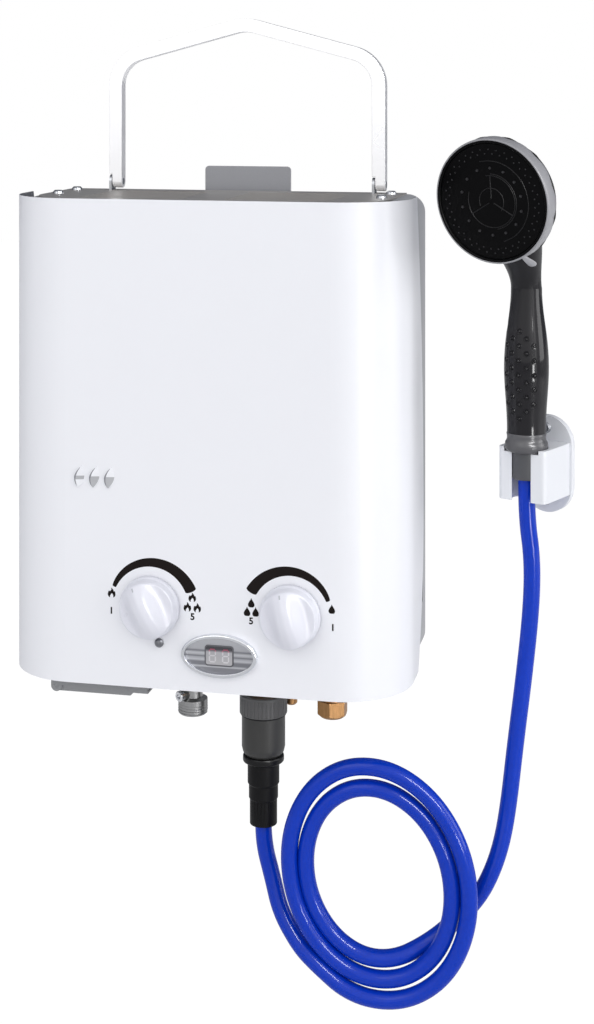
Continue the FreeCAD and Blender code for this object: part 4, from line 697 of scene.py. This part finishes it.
def template(name, profile, around):
    """A small lathe shape, in millimetres, that the stud tree repeats."""
    points, faces = lathe(profile, around)
    return placed(name, mesh_from(name, points, faces))


def surface_of(node):
    """A search tree over a CAD node's faces, for finding where a line meets it."""
    mesh = frame["nodes"][node].data
    return BVHTree.FromPolygons([vertex.co.copy() for vertex in mesh.vertices],
                                [tuple(polygon.vertices) for polygon in mesh.polygons])


# %% [markdown]
# ## Control knobs
#
# Each knob is one ABS moulding: a low round skirt with a tall grip across it, which falls away
# into two finger scoops. Its top is one smooth height over a disc, so it is made as that: rings
# of points at a height worked out from their place, then a wall down to the skirt. A short grey
# mark at the upper end of the grip shows the setting.

# %% Knob shape
KNOB_BASE = -125.8                 # back of the skirt, Y in millimetres
CONTROL_HEIGHT = -261.5            # both knobs' axes, Z
GAS_X, WATER_X = -39.5, 60.5       # their axes, X
KNOB_TOP = 19.5                    # radius out to which the grip and the scoops reach
GRIP_CREST, SCOOP_FLOOR = 21.1, 9.4    # heights over the base
GRIP_FALL = 6.6                    # how far the crest drops towards its ends
GRIP_FLANK = (4.0, 15.6)           # where, across the grip, it falls away into the scoops


def ease(low, high, value):
    """0 below low, 1 above high, and a smooth step between."""
    share = min(max((value - low) / (high - low), 0), 1)
    return share * share * (3 - 2 * share)


def grip_height(across, along):
    """Height of the knob's top over its base, across and along the grip."""
    out = math.hypot(across, along)
    roof = GRIP_CREST - 0.34 * math.sqrt(across ** 2 + 2.4) - GRIP_FALL * (along / KNOB_TOP) ** 2
    scoop = SCOOP_FLOOR + 0.6 * (out / KNOB_TOP) ** 2
    side = ease(*GRIP_FLANK, abs(across))
    return roof * (1 - side) + scoop * side


def on_knob(middle, turn, across, along, height):
    """A point on a knob: across and along its turned grip, and out of the panel."""
    c, s = polar(1, math.radians(turn))
    return (middle + across * c - along * s, KNOB_BASE - height,
            CONTROL_HEIGHT + across * s + along * c)


# (radius, drop below the worked-out height), then (radius, height)
TOP_RINGS = [(0.8 * k, 0.0) for k in range(1, 24)] + [(19.0, 0.0), (19.45, -0.5), (19.8, -1.5)]
SKIRT_RINGS = [(20.25, 4.4), (20.6, 3.8), (21.1, 3.5), (21.45, 2.9), (21.5, 2.2), (21.5, 0.0), (18.5, 0.0)]
MARK_SECTION = [(-0.62, -0.3), (-0.4, 0.2), (0.4, 0.2), (0.62, -0.3)]   # across, and over the grip


def knob(name, node, body, middle, turn):
    """A closed moulding: the height over the disc, a rounded shoulder, a wall, a skirt and a base."""
    around = 120
    points = [on_knob(middle, turn, 0, 0, grip_height(0, 0))]
    for radius, drop in TOP_RINGS:
        points += [on_knob(middle, turn, *spot, grip_height(*spot) + drop)
                   for spot in (polar(radius, angle) for angle in circle(around))]
    for radius, height in SKIRT_RINGS:
        points += [on_knob(middle, turn, *polar(radius, angle), height) for angle in circle(around)]
    points.append(on_knob(middle, turn, 0, 0, 0))
    last = len(points) - 1
    faces = tube_faces(len(TOP_RINGS + SKIRT_RINGS), around, first=1)
    faces += [(0, 1 + (k + 1) % around, 1 + k) for k in range(around)]
    faces += [(last - around + k, last - around + (k + 1) % around, last) for k in range(around)]
    made = piece_from(name, points, faces, body, FINISHES["knob_white"], "knob_white")
    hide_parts(node)
    steps = [15.9 + 0.4 * k for k in range(7)]
    mark = [on_knob(middle, turn, across, along, grip_height(across, along) + lift)
            for along in steps for across, lift in MARK_SECTION]
    piece_from(name + "_mark", mark, rod_faces(len(steps), len(MARK_SECTION)), body, knob_mark_grey,
               soft=False)
    return made


knob_mark_grey = finish("moulded_grey_mark", "B4B6BD", 0.35, depth=0.004)
for name, node, body, middle, turn in (("gas_knob_moulding", "gas_knob", "gas_control", GAS_X, 28.0),
                                       ("water_knob_moulding", "water_knob", "water_control", WATER_X, 14.0)):
    moulding = knob(name, node, body, middle, turn)
    print(name, len(moulding.data.polygons), "faces")

# %% [markdown]
# ## Printed scale
#
# Black ink on the powder coat: a wedge arc over each knob that grows from the weak to the strong
# setting, a flame or drop at its weak end and three of them at its strong end, and a digit under
# each. Ink has no thickness to speak of, so each print is a flat shape 0.05 mm off the panel.

# %% Ink and flat shapes
INK_PLANE = -125.05                # 0.05 mm off the panel
ink = finish("black_pad_print_ink", "140D0B", 0.5, depth=0.002, tone=0.02, spec=0.12)


def print_flat(name, outline, middle):
    """A flat print from an outline round its middle, X and Z in millimetres, facing the viewer."""
    points = [(middle[0] + x, INK_PLANE, middle[1] + z) for x, z in outline]
    return face_viewer(piece_from(name, points, [tuple(range(len(points)))], "heater", ink,
                                  soft=False, closed=False))


def wedge_arc(start, end, thin, thick, inner):
    """Outline of an arc between two angles whose outer radius grows from thin to thick, round ends."""
    steps = 48
    angles = [math.radians(start + (end - start) * k / steps) for k in range(steps + 1)]
    radii = [thin + (thick - thin) * (k / steps) ** 0.75 for k in range(steps + 1)]

    def cap(angle, low, high, way):
        half, centre = (high - low) / 2, Vector(polar((low + high) / 2, angle))
        radial, along = Vector(polar(1, angle)), Vector((-math.sin(angle), math.cos(angle))) * way
        return [tuple(centre + radial * half * math.cos(t) + along * half * 0.35 * math.sin(t))
                for t in (math.pi * k / 8 for k in range(1, 8))]

    way = 1 if end > start else -1
    outline = [polar(radius, angle) for radius, angle in zip(radii, angles)]
    outline += cap(angles[-1], inner, radii[-1], way)
    outline += [polar(inner, angle) for angle in reversed(angles)]
    return outline + cap(angles[0], inner, radii[0], -way)[::-1]


# %% Arcs
for name, outline, middle in (
        ("gas_scale_arc", wedge_arc(154.0, 24.0, 30.6, 36.0, 27.7), GAS_X),
        ("water_scale_arc", wedge_arc(24.0, 151.0, 30.3, 35.4, 27.2), WATER_X)):
    print_flat(name, outline, (middle, CONTROL_HEIGHT))
print("scale arcs", 2)


# %% Pictograms
def rounded(corners, steps=4):
    """A closed outline smoothed by cutting its corners a few times."""
    for _ in range(steps):
        corners = [tuple(Vector(a).lerp(Vector(b), share))
                   for a, b in zip(corners, corners[1:] + corners[:1]) for share in (0.25, 0.75)]
    return corners


FLAME = [(0.0, -3.7), (2.0, -3.5), (3.2, -1.8), (3.0, 0.4), (2.3, 1.7), (1.8, 0.7), (1.3, 2.5), (-0.5, 4.4),
         (-0.1, 2.3), (-1.6, 1.0), (-2.2, 1.9), (-3.1, 0.0), (-3.2, -1.9), (-2.0, -3.5)]
FLAME_HEART = [(-1.0, -4.1), (1.0, -4.1), (1.5, -2.2), (0.3, 0.0), (-0.4, -1.0), (-1.5, -2.4)]
DROP = [(0.0, -3.0), (1.8, -2.9), (2.7, -1.2), (2.1, 0.6), (0.4, 3.0), (0.1, 4.0), (-0.1, 4.0), (-0.4, 3.0),
        (-2.1, 0.6), (-2.7, -1.2), (-1.8, -2.9)]
HEART_LIFT = 0.00004               # metres that the bare paint stands over the ink


def pictogram(name, outline, middle, size, heart=None):
    """One inked sign, or the paint that shows through its middle."""
    print_flat(name, [(x * size, z * size) for x, z in rounded(outline)], middle)
    if heart:
        bare = print_flat(name + "_heart", [(x * size, z * size) for x, z in rounded(heart)], middle)
        for vertex in bare.data.vertices:
            vertex.co.y -= HEART_LIFT
        bare.data.materials[0] = FINISHES["cover_white"]


pictogram("weak_flame", FLAME, (-67.7, -253.7), 0.90, FLAME_HEART)
for k, middle in enumerate(((-9.2, -253.4), (-12.7, -260.2), (-5.6, -260.4))):
    pictogram(f"strong_flame_{k + 1}", FLAME, middle, 0.86, FLAME_HEART)
pictogram("weak_drop", DROP, (89.4, -255.7), 0.90)
for k, middle in enumerate(((32.9, -254.9), (29.9, -261.0), (36.0, -261.0))):
    pictogram(f"strong_drop_{k + 1}", DROP, middle, 0.92)
print("pictograms", 8)


# %% Digits
def digit(name, character, middle, size=6.4):
    """A printed figure, made a mesh before it is put in its place."""
    text = bpy.data.curves.new(name, "FONT")
    text.body, text.size = character, size / 1000
    text.align_x, text.align_y = "CENTER", "CENTER"
    text.offset = 0.00022
    made = as_mesh(placed(name + "_text", text), name)
    made.data.transform(Matrix.Translation((middle[0] / 1000, INK_PLANE / 1000, middle[1] / 1000))
                        @ Matrix.Rotation(math.radians(90), 4, "X"))
    made.data.materials.clear()
    made.data.materials.append(ink)
    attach(made, "heater")


for name, character, middle in (
        ("gas_low_figure", "1", (-67.9, -266.3)), ("gas_high_figure", "5", (-9.0, -266.9)),
        ("water_high_figure", "5", (32.8, -267.2)), ("water_low_figure", "1", (90.1, -268.0))):
    digit(name, character, middle)
print("figures", 4)

# %% [markdown]
# ## Display
#
# The badge frames a small window over two seven-segment digits, unlit but for a red glow at
# their tops. The surround is a dark frame, the lens is tinted acrylic, darker along its upper
# edge where the case shades it, and each digit is seven flat six-sided bars.

# %% Display pieces
def rounded_box(width, height, corner, steps=6):
    """Outline of a rectangle with round corners, about its middle."""
    outline = []
    for way_x, way_z, first in ((1, 1, 0), (-1, 1, 90), (-1, -1, 180), (1, -1, 270)):
        for k in range(steps + 1):
            x, z = polar(corner, math.radians(first + 90 * k / steps))
            outline.append((way_x * (width / 2 - corner) + x, way_z * (height / 2 - corner) + z))
    return outline


def plaque(name, levels, material):
    """A closed solid of round-cornered boxes, each a depth Y with its width, height and corner."""
    levels = [(y, rounded_box(*box)) for y, *box in levels]
    points = [(BADGE[0] + x, y, BADGE[1] + z) for y, outline in levels for x, z in outline]
    faces = rod_faces(len(levels), len(levels[0][1]))
    return piece_from(name, points, faces, "heater", material)


def tinted(name, rough, stops, **more):
    """Smooth plastic that changes colour with the height over the badge's middle."""
    return banded(finish(name, "808080", rough, grain=3.0, depth=0.001, mottle=0.01, **more), 8, stops)


surround_grey = finish("moulded_surround_grey", "55565B", 0.4, depth=0.004)
# tinted acrylic, with painted shade along its upper edge from the case over it
lens_tint_and_shade = tinted("tinted_acrylic_lens", 0.12, [
    (-8, "A9A8AC"), (-5.4, "AEADB0"), (2.4, "A5A4A9"), (3.4, "6C6A70"), (4.4, "3C3B41"), (8, "333238")],
    coat=(0.3, 0.03))
# grey segments with a painted red glow over their tops
segment_grey_and_painted_glow = tinted("unlit_segment_diffuser", 0.3, [
    (-8, "C9C8CB"), (2.2, "C2C0C4"), (3.2, "A86A7C"), (4.4, "8E3F55"), (8, "8E3F55")])
plaque("display_surround", [(-126.0, 20.6, 14.4, 2.2), (-126.95, 20.6, 14.4, 2.2), (-127.1, 20.0, 13.8, 1.9),
                            (-127.1, 18.9, 12.7, 1.5), (-126.9, 18.7, 12.5, 1.4)], surround_grey)
lens = plaque("display_lens", [(-126.5, 18.8, 12.6, 1.4), (-126.95, 18.8, 12.6, 1.4),
                               (-127.0, 18.4, 12.2, 1.3)], lens_tint_and_shade)
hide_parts("display_window")
print("display surround and lens")

# %% Segments
SEGMENT = [(-1.9, 0), (-1.45, 0.5), (1.45, 0.5), (1.9, 0), (1.45, -0.5), (-1.45, -0.5)]
SEGMENT_PLANE = -127.03
bars, bar_faces = [], []
for digit_x in (-4.7, 4.7):
    for x, z, upright in ((0, 4.3, 0), (0, 0.0, 0), (0, -4.3, 0), (-2.1, 2.15, 1), (2.1, 2.15, 1),
                          (-2.1, -2.15, 1), (2.1, -2.15, 1)):
        order = range(len(bars), len(bars) + len(SEGMENT))
        bar_faces.append(tuple(order if upright else reversed(order)))     # all face the viewer
        for corner in SEGMENT:
            across, up = reversed(corner) if upright else corner
            bars.append((BADGE[0] + digit_x + x + across, SEGMENT_PLANE, BADGE[1] + z + up))
segments = piece_from("display_segments", bars, bar_faces, "heater", segment_grey_and_painted_glow, soft=False,
                      closed=False)
print("segments", len(segments.data.polygons))

# %% [markdown]
# ## Air louvres
#
# Each louvre is lanced: the sheet is cut along a leaf's left edge and pushed out of plane, so
# it shows a dark cut edge, a bright upper half and a shaded lower half. The CAD leaf is one low
# dome, so thin skins that follow it carry painted shade: a dark line for the slit along its cut
# edge, and a shaded lower half. Lines from the front find the dome under each point of a skin.

# %% Louvre skins
cover_surface = surface_of("front_cover")
LEAF_TALL, LEAF_WIDE = 7.4, 3.65   # half the height and half the width
LEAF_SLANT = 1.2                   # lean of the tips
LEAF_HEIGHT, LEAF_FIRST, LEAF_PITCH = -173.3, -91.1, 11.0
SLIT_DEPTH = -0.1249               # a line that goes deeper went through a slit
IN_FRONT, SKIN_LIFT = -140.0, 0.06     # where the lines start, and how far a skin stands off


def leaf_skin(name, middle, low, high, start, end, material, rows=14, columns=6):
    """A skin on the cover from low to high; start(up) and end(up) bound it across the leaf."""
    points, depth = [], -126.0
    for row in range(rows + 1):
        up = low + (high - low) * row / rows
        for column in range(columns + 1):
            x, z = middle + start(up) + (end(up) - start(up)) * column / columns, LEAF_HEIGHT + up
            hit, _, _, _ = cover_surface.ray_cast(Vector((x, IN_FRONT, z)) / 1000, Vector((0, 1, 0)))
            if hit and hit.y < SLIT_DEPTH:
                depth = hit.y * 1000 - SKIN_LIFT
            points.append((x, depth, z))
    wide = columns + 1
    corners = [row * wide + column for row in range(rows) for column in range(columns)]
    faces = [(k, k + 1, k + wide + 1, k + wide) for k in corners]
    face_viewer(piece_from(name, points, faces, "heater", material, closed=False))


def leaf_side(way):
    """The leaf's outline on one side, -1 left or 1 right, as a distance across by height."""
    reach = LEAF_WIDE if way < 0 else LEAF_WIDE - 0.4
    return lambda up: LEAF_SLANT * up / LEAF_TALL + way * reach * (1 - (up / LEAF_TALL) ** 2)


def inner_edge(up):
    """The cut edge's inner side, as a distance across by height."""
    return leaf_side(-1)(up) + 0.95 * (1 - (up / LEAF_TALL) ** 2) + 0.12


# painted shade: a dark slit along each leaf's cut edge, and a shaded lower half
edge_shade = finish("painted_slit_shade", "7C7D84", 0.5, grain=0.6, depth=0.004)
lower_shade = finish("shaded_powder_coat", "AEAFB3", 0.45, grain=1.2, depth=0.006)
for k in range(3):
    middle = LEAF_FIRST + LEAF_PITCH * k
    foot = -1.8 if k == 0 else -7.0
    leaf_skin(f"louvre_edge_{k + 1}", middle, -LEAF_TALL, LEAF_TALL, leaf_side(-1), inner_edge, edge_shade)
    leaf_skin(f"louvre_lower_{k + 1}", middle, foot, 0.7, inner_edge, leaf_side(1), lower_shade)
print("louvre skins", 6)

# %% [markdown]
# ## Quick connector
#
# Between the ribbed release collar and the body an O-ring shows as a dark line. It sits in the
# collar's mouth, so it rides on the collar and slides with it.


# %% Turned pieces
def turned_piece(name, profile, around, place, body, material, slot):
    """A lathe shape from a closed profile, standing at a place."""
    points, faces = lathe(profile + profile[:1], around)
    points = [Vector(point) + Vector(place) for point in points]
    return piece_from(name, points, faces, body, material, slot)


seal_section = [(15.75 + x, z) for x, z in (polar(0.75, angle) for angle in circle(12))]
turned_piece("collar_seal", seal_section, 72, (28.5, -70.0, -349.3), "release_collar",
             FINISHES["rubber_black"], "rubber_black")
print("collar seal")

# %% [markdown]
# ## Hand shower
#
# The head is a domed shell with a black rubber spray face, round which a grey selector ring
# turns. The ring's back edge is scalloped over a black lobed band, and a small lever sticks out
# at its foot. Everything on the head is placed from its axis: across, up and out of the face.

# %% Head frame
HEAD = Vector((194.96, -91.03, 22.0))
OUT = Vector((-0.3869, -0.9115, -0.1392)).normalized()
HEAD_UP = (Vector((0, 0, 1)) - OUT * OUT.z).normalized()
HEAD_ACROSS = HEAD_UP.cross(OUT)


def on_head(across, up, out):
    """A point of the head in millimetres, from the middle of its face."""
    return HEAD + HEAD_ACROSS * across + HEAD_UP * up + OUT * out


def around_head(profile_at, around=192):
    """A closed ring about the head's axis; profile_at(angle) gives its (radius, out) section."""
    points = [on_head(*polar(radius, angle), out)
              for angle in circle(around) for radius, out in profile_at(angle)]
    return points, tube_faces(around, len(points) // around, closed=True)


# %% Selector ring
LOBES = 12


def lobe(angle):
    """1 in the middle of a tooth of the ring and 0 between two teeth."""
    return (0.5 + 0.5 * math.cos(LOBES * angle)) ** 0.6


def ring_section(angle):
    edge = -(9.0 + 1.8 * lobe(angle))
    return [(42.5, 0.4), (42.8, 1.1), (43.4, 1.0), (43.85, 0.4), (44.0, -0.4), (44.0, edge * 0.5),
            (43.95, edge + 0.9), (43.6, edge + 0.2), (42.9, edge), (41.0, edge), (42.3, edge * 0.5)]


def rim_section(angle):
    return [(40.6, 0.3), (41.1, 1.1), (42.2, 1.3), (42.7, 0.9), (42.7, -1.5), (40.8, -1.5)]


def band_section(angle):
    reach_out = 43.3 + 1.0 * (1 - lobe(angle)) ** 0.7
    return [(40.8, -8.0), (42.6, -8.0), (reach_out - 0.5, -8.5), (reach_out, -9.2), (reach_out, -10.2),
            (reach_out - 0.5, -10.7), (42.3, -11.0), (40.8, -11.0)]


ring = piece_from("selector_ring_shell", *around_head(ring_section), "spray_ring",
                  FINISHES["ring_grey"], "ring_grey")
piece_from("selector_ring_rim", *around_head(rim_section), "spray_ring", FINISHES["face_black"])
piece_from("selector_ring_band", *around_head(band_section), "spray_ring", FINISHES["black_plastic"])
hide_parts("selector_ring")
print("selector ring", len(ring.data.polygons))

# %% Lever
LEVER_ANGLE = math.radians(-60.0)
LEVER_ROOT, LEVER_LENGTH = 43.2, 9.4
SECTIONS, SIDES = 14, 20
lever_points = []
for k in range(SECTIONS):
    share = k / (SECTIONS - 1)
    a, b = polar(LEVER_ROOT + LEVER_LENGTH * share, LEVER_ANGLE)
    out = 0.2 - 7.6 * share ** 1.15                 # it leans back as it goes out
    # it widens as it goes out, and its last 38 percent are a round tip
    width = (1.7 + 2.0 * share) * math.sin(math.acos(max(share - 0.62, 0) / 0.38))
    thick = 1.5 * (width / 3.7) ** 0.7 + 0.05
    for t in circle(SIDES):
        aside = width * math.cos(t)
        lever_points.append(on_head(a - math.sin(LEVER_ANGLE) * aside, b + math.cos(LEVER_ANGLE) * aside,
                                    out + thick * math.sin(t)))
lever_grey = finish("moulded_abs_light_grey", "A3A3A7", 0.3, depth=0.006)
lever = piece_from("selector_lever", lever_points, rod_faces(SECTIONS, SIDES), "spray_ring", lever_grey,
                   "ring_grey")
print("lever", len(lever.data.polygons))

# %% [markdown]
# ### Spray face
#
# Small rubber nozzles stand in rings on the face: two rings of fine ones at the rim and one of
# larger ones further in, with thin raised lines between the zones. A line from in front of each
# spot finds the face's surface, because the face is slightly domed.

# %% Nozzles
face_surface = surface_of("handset_face")


def facing_out(hit, way):
    """Where a line met a surface, and its normal there, turned to point along the way out."""
    place, normal = hit[:2]
    return place, normal if normal.dot(way) > 0 else -normal


def face_spot(across, up):
    """Where a line along the head's axis meets the spray face, in metres, and the way out there."""
    return facing_out(face_surface.ray_cast(on_head(across, up, 30.0) / 1000, -OUT), OUT)


def ring_of_spots(radius, count, first=0.0):
    """Even spots on a circle of the face."""
    return [face_spot(*polar(radius, first + angle)) for angle in circle(count)]


nozzle_grey = finish("moulded_silicone_tip", "27272A", 0.35, depth=0.003)
tip = template("nozzle_template", [(0, -0.4), (0.75, -0.4), (0.7, 0.2), (0.45, 0.75), (0, 0.85)], 10)
rim_spots = ring_of_spots(36.3, 36) + ring_of_spots(33.4, 36, math.pi / 36)
for name, spots_name, spots, scale in (("rim_nozzles", "rim_spots", rim_spots, 0.8),
                                       ("inner_nozzles", "inner_spots", ring_of_spots(23.5, 14, 0.2), 1.5)):
    grown(name, stud_tree, stud_points(spots_name, spots),
          {"Template": tip, "Scale": scale, "Finish": nozzle_grey}, "handset")

# %% Zone lines
line_black = finish("polished_mould_line", "101012", 0.32, depth=0.002, spec=0.3)


def raised_line(name, spots, radius):
    """A thin raised line over these (across, up) spots of the face."""
    places = [face_spot(*spot)[0] for spot in spots]
    made = as_mesh(spline_object(name + "_curve", places, radius), name)
    made.data.materials.append(line_black)
    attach(made, "handset")


for name, radius, start, end in (("outer_zone_line", 28.6, -75, 105), ("middle_zone_line", 19.5, -80, 95),
                                 ("inner_zone_line", 18.3, -200, 100), ("centre_line", 9.5, -40, 200)):
    raised_line(name, [polar(radius, math.radians(a)) for a in range(start, end + 1, 12)], 0.0003)
for k in range(3):
    angle = math.radians(90 + 120 * k)
    raised_line(f"spoke_line_{k + 1}", [polar(r, angle) for r in (2.0, 8.0, 14.0, 18.3)], 0.00035)
print("zone lines", 7)

# %% [markdown]
# ### Grip bumps, collar and tail
#
# Five columns of rubber bumps run down the viewer's side of the grip, every second column half
# a step lower. Each bump is a small dome inside a low ring, like a crater, so one lathe profile
# makes it. Lines from outside towards the grip's axis find the places and the way out.

# %% Grip bumps
GRIP_AXIS = (214.5, -45.0)
grip_surface = surface_of("handset_body")


def grip_spot(degrees, height):
    """Where a level line from outside at this bearing meets the grip, in metres, and the way out."""
    away = Vector((*polar(1, math.radians(degrees)), 0))
    start = (Vector((*GRIP_AXIS, height)) + away * 60) / 1000
    return facing_out(grip_surface.ray_cast(start, -away), away)


bump = template("bump_template", [
    (0, -0.5), (2.3, -0.5), (2.25, 0.05), (1.95, 0.52), (1.6, 0.46), (1.35, 0.08), (1.15, 0.10),
    (0.95, 0.75), (0.5, 1.12), (0, 1.2)], 16)
VIEWER_BEARING = -84.9             # from the grip's axis, in degrees
BUMPS_MIDDLE, BUMP_PITCH = -102.3, 10.25
bump_spots = [grip_spot(VIEWER_BEARING + bearing, BUMPS_MIDDLE + BUMP_PITCH * (row - (rows - 1) / 2))
              for bearing, rows in ((-63, 5), (-42, 6), (-21, 7), (0, 6), (21, 5)) for row in range(rows)]
grown("grip_bumps", stud_tree, stud_points("bump_spots", bump_spots),
      {"Template": bump, "Scale": 0.95, "Finish": FINISHES["charcoal"]}, "handset")
for used in (tip, bump):
    bpy.data.objects.remove(used)

# %% Collar and tail
COLLAR_PROFILE = [(11.0, -158.0), (13.2, -157.8), (14.6, -156.9), (15.2, -155.4), (15.3, -153.5),
                  (15.1, -151.6), (14.4, -150.4), (13.9, -149.4), (13.8, -147.0), (14.2, -145.2),
                  (13.6, -144.4), (11.0, -144.2)]
TAIL_PROFILE = [(6.1, -177.4), (9.6, -177.4), (10.1, -176.9), (10.2, -176.0), (10.2, -157.0), (6.1, -157.0)]
collar = turned_piece("grip_collar", COLLAR_PROFILE, 96, (*GRIP_AXIS, 0), "handset", collar_grey, "ring_grey")
creased(turned_piece("grip_tail", TAIL_PROFILE, 96, (*GRIP_AXIS, 0), "handset", tail_grey, "ring_grey"))
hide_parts("handset_collar")
print("bumps", len(bump_spots))
